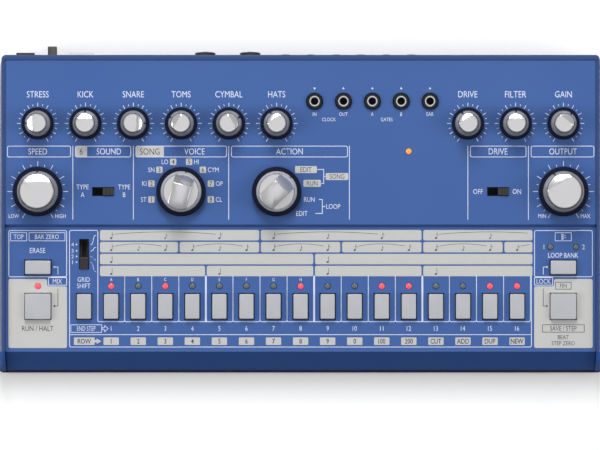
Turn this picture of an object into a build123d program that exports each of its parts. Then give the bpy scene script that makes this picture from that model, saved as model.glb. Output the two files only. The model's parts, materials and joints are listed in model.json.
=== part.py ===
from build123d import *
from math import atan2, cos, degrees, radians, sin, tan
import os

# Desktop drum machine: a low moulded wedge with a stepped, sloping panel of knobs and keys.
# Millimetres, +Z up, the player sits towards -Y, origin on the table under the centre of the box.
# A place on the panel is x, and d measured down the slope from the rear top edge of the case.
# A level on the panel is a height over the plane that the tops of the rims lie in.

# Holes that a plug fits are true cylinders. The many other rounds are prisms with flat sides.
visible_sides = 24
hidden_sides = 12

# ---- Case ----
case_width = 305.0  # across the foot of the shell
rear_height = 44.5  # rear top edge over the table
tilt = 6.5  # slope of the panel, degrees
rear_lean = 3.3  # draft of the rear wall, degrees
cheek_lean = 7.8  # draft of the two noses at the front, degrees
side_lean_in = 2.3  # each side wall leans in by this much, foot to rim
wall = 2.5
foot_height = 2.0  # rubber feet, from the table to the bottom case
band_height = 1.5  # edge of the bottom case that shows under the shell
side_rim = 1.6
rear_rim = 2.3
rim_rounding = 0.8
foot_corner = 2.5
rear_corner = 2.3
nose_corner = 1.0
field_sink = 0.8  # the upper panel lies this far under the rims
upper_field = 82.9  # length of the upper panel down the slope
step_run = 1.3
step_drop = 2.2
lower_field = 62.6
nose_reach = 5.1  # rims run on past the front edge of the lower panel
toe_height = 1.0  # upright foot of the front face
groove_width = 0.5
groove_depth = 0.5
headroom = 20.0  # cutting tools reach this far out of the case

slope = radians(tilt)
shell_z = foot_height + band_height
step_d = rear_rim + upper_field
lower_d = step_d + step_run
front_d = lower_d + lower_field
nose_d = front_d + nose_reach
nose_z = rear_height - nose_d * sin(slope)
rear_set_in = (rear_height - shell_z) * tan(radians(rear_lean))
nose_set_in = (nose_z - shell_z) * tan(radians(cheek_lean))
case_depth = rear_set_in + nose_d * cos(slope) + nose_set_in

lever_reach = 5.8  # the power lever stands this far out behind the foot of the rear wall
rear_y = (case_depth - lever_reach) / 2
front_y = rear_y - case_depth
rear_top_y = rear_y - rear_set_in
field_half = case_width / 2 - side_lean_in - side_rim

panel = Plane(origin=(0, rear_top_y, rear_height), x_dir=(1, 0, 0), z_dir=(0, -sin(slope), cos(slope)))
upper_face = -field_sink
lower_face = upper_face - step_drop
upper_under = upper_face - wall
lower_under = lower_face - wall

# ---- Boards ----
board_thickness = 1.6
board_gap = 10.0  # underside of the upper panel to the top of the main board
board_side_gap = 15.5  # from the foot of the shell to the edge of the main board
main_board_rear_d = 16.0
main_board_front_d = 138.0
board_top = upper_under - board_gap
board_under = board_top - board_thickness
connector_board_top = 11.0
connector_board_inset = 6.5  # from the foot of the shell to the left edge of the board
connector_board_right = 92.0
connector_board_front = 41.0

# ---- Rows and columns of the panel ----
control_inset = 20.5  # outermost controls, from the side of the case
knobs_in_bank = 6
small_row_d = 34.5
large_row_rise = 16.5  # large knobs, up the slope from the step
mode_column = 12.0
voice_place = 3  # the voice selector stands under this knob, counted from 0
slide_inset = 32.8  # from the outermost controls
panel_jack_d = 23.3
panel_jack_pitch = 14.5
panel_jack_count = 5
status_led_x = 54.3
status_led_d = 48.5
step_count = 16
key_inset = 23.2  # shift key, from the outermost controls
key_row_rise = 22.7  # rows of the lower panel, up the slope from its front edge
led_row_rise = 32.9
small_key_row_rise = 42.3
pair_led_rise = 52.5
pair_led_spread = 12.9
scale_slot_rise = 48.95

outer_column = case_width / 2 - control_inset
knob_pitch = (outer_column - mode_column) / (knobs_in_bank - 1)
voice_column = outer_column - voice_place * knob_pitch
slide_column = outer_column - slide_inset
panel_jack_middle = (outer_column - 2 * knob_pitch - mode_column) / 2
key_pitch = 2 * (outer_column - key_inset) / step_count
large_row_d = step_d - large_row_rise
key_row_d = front_d - key_row_rise
led_row_d = front_d - led_row_rise
small_key_row_d = front_d - small_key_row_rise
pair_led_d = front_d - pair_led_rise
scale_slot_d = front_d - scale_slot_rise
shift_column = -key_pitch * step_count / 2
step_columns = [shift_column + key_pitch * (step + 1) for step in range(step_count)]

# ---- Knobs and what they turn in ----
small_knob = {
    "skirt_radius": 8.0,
    "skirt_height": 3.4,
    "cap_foot": 6.6,
    "cap_top": 4.7,
    "height": 15.5,  # over the panel
    "facet": 0.4,  # the top falls away beyond this share of its radius
}
large_knob = {
    "skirt_radius": 12.45,
    "skirt_height": 3.9,
    "cap_foot": 10.3,
    "cap_top": 8.55,
    "height": 17.0,
    "facet": 0.5,
}
facet_slope = 12.0
notch_width = 1.0
notch_depth = 1.0
selector_skirt_radius = 12.45
selector_skirt_height = 3.9
selector_disc_foot = 10.2
selector_disc_top = 8.7
selector_disc_height = 3.5
selector_height = 17.0
bar_width = 9.4
bar_radius = 9.1
bar_flat_reach = 3.5
skirt_lift = 0.6  # gap under each knob
shaft_radius = 3.0
shaft_hole_radius = 4.0
shaft_end_gap = 0.2
turning_clearance = 0.05
pot_width = 9.8
pot_length = 11.0
rotary_width = 16.0
control_height = 6.8  # body of a potentiometer or a rotary switch
bushing_radius = 3.9
bushing_height = 2.0
shaft_socket_depth = 7.0

# ---- Keys ----
step_key_size = (7.2, 12.5)
small_key_size = (12.8, 6.9)
square_key_size = (13.0, 13.0)
key_rise = 3.2  # key tops over the lower panel
key_gap = 0.5
key_bevel = 0.35
key_travel = 0.8
flange_grip = 0.8  # the flange reaches this far past the opening
flange_thickness = 1.0
flange_clearance = 0.2
stem_width = 3.3
stem_entry = 1.0
stem_end_gap = 0.6  # left under a stem when its key is down
tact_width = 6.0
tact_height = 3.4
fit_clearance = 0.05

# ---- Slide switches ----
short_slot = (11.0, 4.5)
scale_slot = (15.2, 5.0)
short_cap_length = 5.4
scale_cap_length = 5.9
slot_end_gap = 0.15
slot_side_gap = 0.4
cap_rise = 1.6
cap_rib_count = 3
cap_rib_pitch = 1.3
cap_rib_width = 0.6
cap_rib_depth = 0.5
slide_body_margin = 2.0
slide_body_height = 5.0
slide_stem = (3.0, 2.0)
slide_stem_entry = 3.0
slide_well_depth = 4.0

# ---- Lights ----
led_radius = 1.5
led_gap = 0.15
led_rise = 0.6

# ---- Jacks on the panel ----
mini_bore_radius = 1.85
mini_bore_depth = 13.5
panel_jack_width = 9.0
panel_barrel_radius = 2.8
panel_barrel_rise = 2.2
panel_barrel_gap = 0.2
nut_radius = 4.3
nut_height = 1.8

# ---- Connectors at the rear ----
socket_gap = 0.2  # rear faces of the socket bodies to the inside of the leaning wall
hole_gap = 0.25  # around what passes through the rear wall
box_socket_proud = 2.5  # how far the square sockets stand out of the rear wall
rear_jack_first_x = -7.6
rear_jack_pitch = 12.7
rear_jack_count = 6
rear_jack_size = (10.4, 12.0)
rear_jack_depth = 12.0
rear_barrel_radius = 2.7
rear_barrel_proud = 2.0
rear_barrel_gap = 0.6  # around each small barrel, as the whole row enters the wall at once
main_output_x = 80.0
main_output_size = (15.5, 14.0)
main_output_depth = 27.0
main_barrel_radius = 5.5
main_barrel_proud = 0.6
main_bore_radius = 3.2
main_bore_depth = 27.0
midi_columns = (-48.2, -25.5)
midi_size = (20.0, 18.0)
midi_depth = 12.0
midi_mouth_radius = 7.4
midi_core_radius = 5.2
midi_ring_depth = 8.0
midi_core_proud = 2.7
usb_reach = 35.3  # from the left edge of the board
usb_size = (12.0, 10.9)
usb_depth = 16.3
usb_mouth = (8.5, 7.8)
usb_mouth_depth = 9.0
usb_tongue = (5.6, 3.2)
dc_reach = 6.9
dc_size = (9.3, 11.0)
dc_depth = 14.5
dc_mouth_radius = 3.15
dc_mouth_depth = 9.5
dc_pin_radius = 1.05
dc_pin_set_back = 1.0
power_reach = 20.3
power_travel = 4.0
lever_width = 4.6
lever_height = 3.0
lever_gap = 0.3
lever_entry = 4.0
power_body_size = (13.0, 8.0)
power_body_depth = 9.0

# ---- Ribbon cable ----
ribbon_reach = 46.0
ribbon_width = 20.0
ribbon_thickness = 0.9
ribbon_bend = 2.5
ribbon_entry = 0.5  # the ribbon runs this far into its plugs
ribbon_fold = 3.5  # the fold stands out this far in front of the upper plug
plug_size = (22.0, 5.0)
plug_height = 6.0
lower_plug_y = 46.0
upper_plug_d = 46.0

# ---- Bottom case, screws, posts, feet ----
floor_thickness = 2.0
lip_height = 4.0
lip_gap = 0.2
lip_thickness = 1.5
band_inset = 0.3
screw_radius = 1.45
screw_head_radius = 2.7
screw_head_height = 1.5
screw_head_recess = 1.0
screw_gap = 0.05
screw_length = 10.0
boss_radius = 3.25
post_radius = 3.0
screw_inset = 10.5  # from the side of the case
screw_rows = (34.3, 2.0, -68.0)
board_post_shift = 6.0  # the middle of the three columns of posts
board_post_pitch = 90.0
board_post_rows = (51.6, 100.0)
connector_post_count = 4
connector_post_left_inset = 9.0  # from the edges of the board
connector_post_right_inset = 25.0
connector_post_y = 46.0
rubber_width = 12.0
rubber_bevel = 0.5
rubber_inset = 20.0  # centre of each foot, from the outline of the case

os.makedirs("parts", exist_ok=True)


def slope_point(d, level):
    """Side view of a place on the panel: (y, z) at d down the slope and at a level."""
    y = rear_top_y - d * cos(slope) - level * sin(slope)
    z = rear_height - d * sin(slope) + level * cos(slope)
    return (y, z)


def over_panels(rear_d, sink):
    """Side outline of the space over the stepped panel and the front face, each sunk by sink."""
    step_shift = sink * tan(atan2(step_drop, step_run) / 2)
    edge_y, edge_z = slope_point(front_d, lower_face)
    toe_z = shell_z + toe_height
    face_angle = atan2(edge_z - toe_z, edge_y - front_y)
    edge_shift = sink * tan((face_angle - slope) / 2)
    return [
        slope_point(rear_d, headroom),
        slope_point(rear_d, upper_face - sink),
        slope_point(step_d - step_shift, upper_face - sink),
        slope_point(lower_d - step_shift, lower_face - sink),
        slope_point(front_d - edge_shift, lower_face - sink),
        (front_y + sink / sin(face_angle), toe_z),
        (front_y - headroom, toe_z),
        (front_y - headroom, rear_height + headroom),
    ]


def wedge(inset, rounded):
    """Ruled block between the foot outline and the sloping plane of the rims, drawn in by inset."""
    with BuildPart() as block:
        with BuildSketch(Plane.XY.offset(shell_z)) as foot:
            with Locations((0, (rear_y + front_y) / 2)):
                Rectangle(case_width - 2 * inset, case_depth - 2 * inset)
            if rounded:
                fillet(foot.vertices(), foot_corner)
        with BuildSketch(panel) as crown:
            with Locations((0, -nose_d / 2)):
                Rectangle(case_width - 2 * side_lean_in - 2 * inset, nose_d - 2 * inset)
            if rounded:
                fillet(crown.vertices().sort_by(Axis.Y)[:2], nose_corner)
                fillet(crown.vertices().sort_by(Axis.Y)[-2:], rear_corner)
        loft(ruled=True)
    return block.part


def inner_space(inset):
    """Room inside the case, under the stepped panel, at a distance inset from its outer faces."""
    with BuildPart() as space:
        add(wedge(inset, rounded=False))
        with BuildSketch(Plane.YZ):
            with BuildLine():
                Polyline(*over_panels(-headroom, inset), close=True)
            make_face()
        extrude(amount=case_width, both=True, mode=Mode.SUBTRACT)
    return space.part


def seat_on_panel(x, d, level, turn):
    """Plane on the panel at (x, d), turned clockwise by turn degrees as seen from above."""
    origin = panel.from_local_coords((x, -d, level))
    x_dir = panel.x_dir.rotate(Axis((0, 0, 0), panel.z_dir), -turn)
    return Plane(origin=origin, x_dir=x_dir, z_dir=panel.z_dir)


def rear_plane(y):
    """Upright plane at y, with x to the right and z up, whose positive side faces the player."""
    return Plane.XZ.offset(-y)


def rear_wall_y(z):
    """Outer face of the rear wall at the height z."""
    return rear_y - (z - shell_z) * tan(radians(rear_lean))


def hole_round(radius, sides):
    """Prism outline for a hole, whose flat sides touch the circle of this radius."""
    return RegularPolygon(radius, sides, major_radius=False)


def save(label, *solids):
    """Label one sub-part and write it as parts/label.step."""
    piece = solids[0] if len(solids) == 1 else Compound(children=list(solids))
    piece.label = label
    export_step(piece, f"parts/{label}.step")


# ---- Places that several pieces share ----
small_knobs = {
    "stress_knob": (-outer_column, -90),
    "kick_knob": (-outer_column + knob_pitch, 0),
    "snare_knob": (-outer_column + 2 * knob_pitch, 90),
    "toms_knob": (-outer_column + 3 * knob_pitch, -60),
    "cymbal_knob": (-outer_column + 4 * knob_pitch, 60),
    "hats_knob": (-outer_column + 5 * knob_pitch, -30),
    "drive_knob": (outer_column - 2 * knob_pitch, -30),
    "filter_knob": (outer_column - knob_pitch, 0),
    "gain_knob": (outer_column, 37),
}
large_knobs = {"speed_knob": (-outer_column, 0), "output_knob": (outer_column, -29)}
selectors = {"voice_selector": (-voice_column, 15), "mode_selector": (-mode_column, 45)}
pot_places = [(x, -small_row_d) for x, turn in small_knobs.values()]
pot_places += [(x, -large_row_d) for x, turn in large_knobs.values()]
rotary_places = [(x, -large_row_d) for x, turn in selectors.values()]
panel_jack_places = [
    (panel_jack_middle + panel_jack_pitch * (jack - (panel_jack_count - 1) / 2), -panel_jack_d)
    for jack in range(panel_jack_count)
]
status_led_place = (status_led_x, -status_led_d)

keys = {
    f"step_key_{step + 1:02d}": (step_columns[step], key_row_d, step_key_size)
    for step in range(step_count)
}
keys["shift_key"] = (shift_column, key_row_d, step_key_size)
keys["clear_key"] = (-outer_column, small_key_row_d, small_key_size)
keys["group_key"] = (outer_column, small_key_row_d, small_key_size)
keys["start_key"] = (-outer_column, key_row_d, square_key_size)
keys["tap_key"] = (outer_column, key_row_d, square_key_size)
key_places = [(x, -d) for x, d, size in keys.values()]
red_led_places = [(x, -led_row_d) for x in [-outer_column] + step_columns]
red_led_places += [(outer_column + side * pair_led_spread / 2, -pair_led_d) for side in (-1, 1)]

# seats of the slide switches: local +x is the way that the cap travels from where it rests
sound_seat = seat_on_panel(-slide_column, large_row_d, 0, 180)
drive_seat = seat_on_panel(slide_column, large_row_d, 0, 180)
scale_seat = seat_on_panel(shift_column, scale_slot_d, 0, -90)
slides = {
    "sound_slide": (sound_seat, short_slot, short_cap_length, upper_face),
    "drive_slide": (drive_seat, short_slot, short_cap_length, upper_face),
    "scale_slide": (scale_seat, scale_slot, scale_cap_length, lower_face),
}

connector_board_left = connector_board_inset - case_width / 2
usb_x = connector_board_left + usb_reach
dc_x = connector_board_left + dc_reach
power_x = connector_board_left + power_reach
ribbon_x = connector_board_left + ribbon_reach
rear_jack_z = connector_board_top + rear_jack_size[1] / 2
rear_jack_places = [
    (rear_jack_first_x + rear_jack_pitch * jack, rear_jack_z) for jack in range(rear_jack_count)
]
main_output_place = (main_output_x, connector_board_top + main_output_size[1] / 2)
midi_places = [(x, connector_board_top + midi_size[1] / 2) for x in midi_columns]
usb_place = (usb_x, connector_board_top + usb_size[1] / 2)
dc_place = (dc_x, connector_board_top + dc_size[1] / 2)
power_z = connector_board_top + power_body_size[1] / 2
power_slot_place = (power_x + power_travel / 2, power_z)
lever_slot_length = lever_width + power_travel
tallest_socket = max(midi_size[1], main_output_size[1], rear_jack_size[1])
socket_y = rear_wall_y(connector_board_top + tallest_socket) - wall - socket_gap

floor_z = foot_height + floor_thickness
screw_column = case_width / 2 - screw_inset
screw_places = [(side * screw_column, y) for side in (-1, 1) for y in screw_rows]
board_post_places = [
    (board_post_shift + side * board_post_pitch, -d) for side in (-1, 0, 1) for d in board_post_rows
]
connector_post_left = connector_board_left + connector_post_left_inset
connector_post_span = connector_board_right - connector_post_right_inset - connector_post_left
connector_post_places = [
    (connector_post_left + connector_post_span * post / (connector_post_count - 1), connector_post_y)
    for post in range(connector_post_count)
]
rubber_places = [
    (side * (case_width / 2 - rubber_inset), y)
    for side in (-1, 1)
    for y in (front_y + rubber_inset, rear_y - rubber_inset)
]

# ---- Top case: the moulded shell, with its rims, step, noses and every opening ----
with BuildPart() as posts:
    with BuildSketch(Plane.XY.offset(floor_z)):
        with Locations(*screw_places):
            RegularPolygon(boss_radius, hidden_sides)
    extrude(amount=rear_height)
    with BuildSketch(panel.offset(board_top)):
        with Locations(*board_post_places):
            RegularPolygon(post_radius, hidden_sides)
    extrude(amount=board_gap + headroom)
    add(inner_space(wall), mode=Mode.INTERSECT)

with BuildPart() as top_case:
    add(wedge(0, rounded=True))
    fillet(top_case.faces().sort_by(Axis.Z)[-1].edges(), rim_rounding)
    with BuildSketch(Plane.YZ):
        with BuildLine():
            Polyline(*over_panels(rear_rim, 0), close=True)
        make_face()
    extrude(amount=field_half, both=True, mode=Mode.SUBTRACT)
    # groove around the panel, along both side rims and the rear rim
    for groove_x in (-field_half, field_half - groove_width):
        with BuildSketch(Plane.YZ.offset(groove_x)):
            with BuildLine():
                Polyline(*over_panels(rear_rim, groove_depth), close=True)
            make_face()
        extrude(amount=groove_width, mode=Mode.SUBTRACT)
    with BuildSketch(panel.offset(upper_face)):
        with Locations((0, -rear_rim - groove_width / 2)):
            Rectangle(2 * field_half, groove_width)
    extrude(amount=-groove_depth, mode=Mode.SUBTRACT)
    add(inner_space(wall), mode=Mode.SUBTRACT)
    add(posts.part)
    # openings of the upper panel
    with BuildSketch(panel.offset(upper_face)):
        with Locations(*pot_places, *rotary_places):
            hole_round(shaft_hole_radius, hidden_sides)
        with Locations(*panel_jack_places):
            hole_round(panel_barrel_radius + panel_barrel_gap, hidden_sides)
        with Locations(status_led_place):
            hole_round(led_radius + led_gap, hidden_sides)
        with Locations((-slide_column, -large_row_d), (slide_column, -large_row_d)):
            Rectangle(*short_slot)
    extrude(amount=wall, both=True, mode=Mode.SUBTRACT)
    # openings of the lower panel
    with BuildSketch(panel.offset(lower_face)):
        for x, d, size in keys.values():
            with Locations((x, -d)):
                Rectangle(size[0] + 2 * key_gap, size[1] + 2 * key_gap)
        with Locations(*red_led_places):
            hole_round(led_radius + led_gap, hidden_sides)
        with Locations((shift_column, -scale_slot_d)):
            Rectangle(scale_slot[1], scale_slot[0])
    extrude(amount=wall, both=True, mode=Mode.SUBTRACT)
    # openings of the rear wall
    with BuildSketch(rear_plane(rear_y)):
        with Locations(*rear_jack_places):
            hole_round(rear_barrel_radius + rear_barrel_gap, visible_sides)
        with Locations(main_output_place):
            hole_round(main_barrel_radius + hole_gap, visible_sides)
        with Locations(*midi_places):
            hole_round(midi_mouth_radius, visible_sides)
        with Locations(usb_place):
            Rectangle(usb_size[0] + 2 * hole_gap, usb_size[1] + 2 * hole_gap)
        with Locations(dc_place):
            Rectangle(dc_size[0] + 2 * hole_gap, dc_size[1] + 2 * hole_gap)
        with Locations(power_slot_place):
            Rectangle(lever_slot_length + 2 * lever_gap, lever_height + 2 * lever_gap)
    extrude(amount=2 * wall, mode=Mode.SUBTRACT)
    # pilot holes for the screws
    with BuildSketch(Plane.XY.offset(floor_z)):
        with Locations(*screw_places):
            hole_round(screw_radius + screw_gap, hidden_sides)
    extrude(amount=screw_length, mode=Mode.SUBTRACT)
save("top_case", top_case.part)

# ---- Bottom case: a tray whose edge shows under the shell, with a lip inside it ----
with BuildPart() as lip:
    add(inner_space(wall + lip_gap))
    split(bisect_by=Plane.XY.offset(shell_z + lip_height), keep=Keep.BOTTOM)

with BuildPart() as tray_room:
    add(inner_space(wall + lip_gap + lip_thickness))
    split(bisect_by=Plane.XY.offset(floor_z), keep=Keep.TOP)

with BuildPart() as bottom_case:
    with BuildSketch(Plane.XY.offset(foot_height)) as band:
        with Locations((0, (rear_y + front_y) / 2)):
            Rectangle(case_width - 2 * band_inset, case_depth - 2 * band_inset)
        fillet(band.vertices(), foot_corner - band_inset)
    extrude(amount=band_height)
    add(lip.part)
    add(tray_room.part, mode=Mode.SUBTRACT)
    with BuildSketch(Plane.XY.offset(floor_z)):
        with Locations(*connector_post_places):
            RegularPolygon(post_radius, hidden_sides)
    extrude(amount=connector_board_top - board_thickness - floor_z)
    with BuildSketch(Plane.XY.offset(foot_height)):
        with Locations(*screw_places):
            hole_round(screw_head_radius + screw_gap, hidden_sides)
    extrude(amount=screw_head_recess, mode=Mode.SUBTRACT)
    with BuildSketch(Plane.XY.offset(foot_height)):
        with Locations(*screw_places):
            hole_round(screw_radius + screw_gap, hidden_sides)
    extrude(amount=floor_thickness, mode=Mode.SUBTRACT)
save("bottom_case", bottom_case.part)

# ---- Rubber feet ----
with BuildPart() as rubber_feet:
    with BuildSketch():
        with Locations(*rubber_places):
            Rectangle(rubber_width, rubber_width)
    extrude(amount=foot_height)
    chamfer(rubber_feet.edges().group_by(Axis.Z)[0], rubber_bevel)
save("rubber_feet", rubber_feet.part)

# ---- Screws, from below through the tray into the bosses of the shell ----
head_seat_z = foot_height + screw_head_recess
with BuildPart() as case_screws:
    with BuildSketch(Plane.XY.offset(head_seat_z)):
        with Locations(*screw_places):
            RegularPolygon(screw_head_radius, hidden_sides)
    extrude(amount=-screw_head_height)
    with BuildSketch(Plane.XY.offset(head_seat_z)):
        with Locations(*screw_places):
            RegularPolygon(screw_radius, hidden_sides)
    extrude(amount=screw_length)
save("case_screws", case_screws.part)

# ---- Main board, parallel to the panel, on the posts of the shell ----
with BuildPart() as main_board:
    with BuildSketch(panel.offset(board_under)):
        with Locations((0, -(main_board_rear_d + main_board_front_d) / 2)):
            Rectangle(case_width - 2 * board_side_gap, main_board_front_d - main_board_rear_d)
    extrude(amount=board_thickness)
save("main_board", main_board.part)

# ---- Connector board, level, on the posts of the tray ----
connector_board_middle = (
    (connector_board_left + connector_board_right) / 2,
    (connector_board_front + socket_y) / 2,
)
with BuildPart() as connector_board:
    with BuildSketch(Plane.XY.offset(connector_board_top)):
        with Locations(connector_board_middle):
            Rectangle(connector_board_right - connector_board_left, socket_y - connector_board_front)
    extrude(amount=-board_thickness)
save("connector_board", connector_board.part)


# ---- Rotary controls: a body on the board, with a neck that the shaft turns in ----
def rotary_bodies(label, places, width, length):
    """Potentiometers or rotary switches standing on the main board."""
    neck_top = board_top + control_height + bushing_height
    with BuildPart() as bodies:
        with BuildSketch(panel.offset(board_top)):
            with Locations(*places):
                Rectangle(width, length)
        extrude(amount=control_height)
        with BuildSketch(panel.offset(neck_top)):
            with Locations(*places):
                RegularPolygon(bushing_radius, hidden_sides)
        extrude(amount=-bushing_height)
        with BuildSketch(panel.offset(neck_top)):
            with Locations(*places):
                hole_round(shaft_radius + turning_clearance, hidden_sides)
        extrude(amount=-shaft_socket_depth, mode=Mode.SUBTRACT)
    save(label, bodies.part)


rotary_bodies("potentiometers", pot_places, pot_width, pot_length)
rotary_bodies("rotary_switches", rotary_places, rotary_width, rotary_width)

# ---- Knobs: a black skirt on its shaft, and a silver cap that is pressed on it ----
shaft_foot = board_top + control_height + bushing_height - shaft_socket_depth + shaft_end_gap
shaft_length = upper_face + skirt_lift - shaft_foot


def skirt_with_shaft(seat, radius, height):
    """Black lower part of a knob, moulded on its shaft, with its underside on the seat."""
    with BuildPart() as skirt:
        with BuildSketch(seat):
            RegularPolygon(radius, visible_sides)
        extrude(amount=height)
        with BuildSketch(seat):
            RegularPolygon(shaft_radius, hidden_sides)
        extrude(amount=-shaft_length)
    return skirt.part


def tapered_disc(seat, low, high, foot_radius, top_radius):
    """Round silver block between two levels over the seat, narrower at the top."""
    with BuildPart() as disc:
        with BuildSketch(seat.offset(low)):
            RegularPolygon(foot_radius, visible_sides)
        extrude(amount=high - low, taper=degrees(atan2(foot_radius - top_radius, high - low)))
    return disc.part


def notch(seat, low, radius):
    """Block that cuts the pointer notch out of the side of a cap."""
    with BuildPart() as cut:
        with BuildSketch(seat.offset(low)):
            with Locations((0, radius)):
                Rectangle(notch_width, 2 * notch_depth)
        extrude(amount=headroom)
    return cut.part


def pointer_slope(seat, near, near_height, far, far_height):
    """Block over a plane that falls away towards the pointer, as wide as any knob."""
    with BuildPart() as cut:
        with BuildSketch(Plane(origin=seat.origin, x_dir=seat.y_dir, z_dir=seat.x_dir)):
            with BuildLine():
                Polyline(
                    (near, near_height),
                    (far, far_height),
                    (far, near_height + headroom),
                    (near, near_height + headroom),
                    close=True,
                )
            make_face()
        extrude(amount=headroom, both=True)
    return cut.part


def cone_knob(label, x, d, turn, skirt_radius, skirt_height, cap_foot, cap_top, height, facet):
    """Knob with a tapered cap, whose top falls away past a chord on the pointer side."""
    seat = seat_on_panel(x, d, upper_face + skirt_lift, turn)
    cap_height = height - skirt_lift
    chord = facet * cap_top
    facet_drop = (cap_foot - chord) * tan(radians(facet_slope))
    with BuildPart() as cap:
        add(tapered_disc(seat, skirt_height, cap_height, cap_foot, cap_top))
        add(
            pointer_slope(seat, chord, cap_height, cap_foot, cap_height - facet_drop),
            mode=Mode.SUBTRACT,
        )
        add(notch(seat, skirt_height, cap_foot), mode=Mode.SUBTRACT)
    save(label, skirt_with_shaft(seat, skirt_radius, skirt_height), cap.part)


def bar_knob(label, x, d, turn):
    """Selector knob: a low disc that carries a bar, which slopes down to the pointer end."""
    seat = seat_on_panel(x, d, upper_face + skirt_lift, turn)
    disc_top = selector_skirt_height + selector_disc_height
    bar_top = selector_height - skirt_lift
    with BuildPart() as cap:
        add(
            tapered_disc(
                seat, selector_skirt_height, disc_top, selector_disc_foot, selector_disc_top
            )
        )
        with BuildSketch(seat.offset(selector_skirt_height)):
            RegularPolygon(bar_radius, visible_sides)
            Rectangle(bar_width, 2 * bar_radius, mode=Mode.INTERSECT)
        extrude(amount=bar_top - selector_skirt_height)
        add(
            pointer_slope(seat, bar_flat_reach, bar_top, selector_disc_foot, disc_top),
            mode=Mode.SUBTRACT,
        )
        add(notch(seat, selector_skirt_height, selector_disc_foot), mode=Mode.SUBTRACT)
    save(label, skirt_with_shaft(seat, selector_skirt_radius, selector_skirt_height), cap.part)


for label, (x, turn) in small_knobs.items():
    cone_knob(label, x, small_row_d, turn, **small_knob)
for label, (x, turn) in large_knobs.items():
    cone_knob(label, x, large_row_d, turn, **large_knob)
for label, (x, turn) in selectors.items():
    bar_knob(label, x, large_row_d, turn)


# ---- Keys: a cap through the panel, a flange under it and a stem that enters its switch ----
def key(label, x, d, size):
    """One key of the lower panel."""
    flange_top = lower_under - flange_clearance
    flange_foot = flange_top - flange_thickness
    grip = 2 * (key_gap + flange_grip)
    with BuildPart() as cap:
        with BuildSketch(panel.offset(flange_foot)):
            with Locations((x, -d)):
                Rectangle(size[0] + grip, size[1] + grip)
        extrude(amount=flange_thickness)
        with BuildSketch(panel.offset(flange_top)):
            with Locations((x, -d)):
                Rectangle(*size)
        extrude(amount=lower_face + key_rise - flange_top)
        chamfer(cap.faces().sort_by(Axis(panel.origin, panel.z_dir))[-1].edges(), key_bevel)
        with BuildSketch(panel.offset(flange_foot)):
            with Locations((x, -d)):
                Rectangle(stem_width, stem_width)
        extrude(amount=board_top + tact_height - stem_entry - flange_foot)
    save(label, cap.part)


for label, (x, d, size) in keys.items():
    key(label, x, d, size)

with BuildPart() as tact_switches:
    with BuildSketch(panel.offset(board_top)):
        with Locations(*key_places):
            Rectangle(tact_width, tact_width)
    extrude(amount=tact_height)
    with BuildSketch(panel.offset(board_top + tact_height)):
        with Locations(*key_places):
            Rectangle(stem_width + 2 * fit_clearance, stem_width + 2 * fit_clearance)
    extrude(amount=-(stem_entry + key_travel + stem_end_gap), mode=Mode.SUBTRACT)
save("tact_switches", tact_switches.part)


# ---- Slide switches: a ribbed cap in a slot of the panel, and a body on the board ----
def slide(label, seat, slot, cap_length, face):
    """Cap at the end of its slot, with a stem down into the body of its switch."""
    rest = (slot_end_gap + cap_length / 2 - slot[0] / 2, 0)
    cap_foot = face - wall
    with BuildPart() as cap:
        with BuildSketch(seat.offset(cap_foot)):
            with Locations(rest):
                Rectangle(cap_length, slot[1] - 2 * slot_side_gap)
        extrude(amount=wall + cap_rise)
        with BuildSketch(seat.offset(face + cap_rise)):
            with Locations(rest):
                with GridLocations(cap_rib_pitch, 1, cap_rib_count, 1):
                    Rectangle(cap_rib_width, slot[1])
        extrude(amount=-cap_rib_depth, mode=Mode.SUBTRACT)
        with BuildSketch(seat.offset(cap_foot)):
            with Locations(rest):
                Rectangle(*slide_stem)
        extrude(amount=board_top + slide_body_height - slide_stem_entry - cap_foot)
    save(label, cap.part)


for label, (seat, slot, cap_length, face) in slides.items():
    slide(label, seat, slot, cap_length, face)

with BuildPart() as slide_switches:
    for seat, slot, cap_length, face in slides.values():
        travel = slot[0] - cap_length - 2 * slot_end_gap
        with BuildSketch(seat.offset(board_top)):
            Rectangle(slot[0] + 2 * slide_body_margin, slot[1] + slide_body_margin)
        extrude(amount=slide_body_height)
        with BuildSketch(seat.offset(board_top + slide_body_height)):
            Rectangle(
                slide_stem[0] + travel + 2 * fit_clearance,
                slide_stem[1] + 2 * fit_clearance,
            )
        extrude(amount=-slide_well_depth, mode=Mode.SUBTRACT)
save("slide_switches", slide_switches.part)


# ---- Lights: round bodies that stand on the board and reach just through the panel ----
def lights(label, places, face):
    """Lights whose lenses end led_rise over the given face of the panel."""
    with BuildPart() as leds:
        with BuildSketch(panel.offset(board_top)):
            with Locations(*places):
                RegularPolygon(led_radius, hidden_sides)
        extrude(amount=face + led_rise - board_top)
    save(label, leds.part)


lights("red_leds", red_led_places, lower_face)
lights("status_led", [status_led_place], upper_face)

# ---- Small jacks on the panel, each held by a round nut ----
panel_mouth = upper_face + panel_barrel_rise
with BuildPart() as panel_jacks:
    with BuildSketch(panel.offset(board_top)):
        with Locations(*panel_jack_places):
            Rectangle(panel_jack_width, panel_jack_width)
    extrude(amount=board_gap)
    with BuildSketch(panel.offset(upper_under)):
        with Locations(*panel_jack_places):
            RegularPolygon(panel_barrel_radius, visible_sides)
    extrude(amount=panel_mouth - upper_under)
    with BuildSketch(panel.offset(panel_mouth)):
        with Locations(*panel_jack_places):
            Circle(mini_bore_radius)
    extrude(amount=-mini_bore_depth, mode=Mode.SUBTRACT)
save("panel_jacks", panel_jacks.part)

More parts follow.
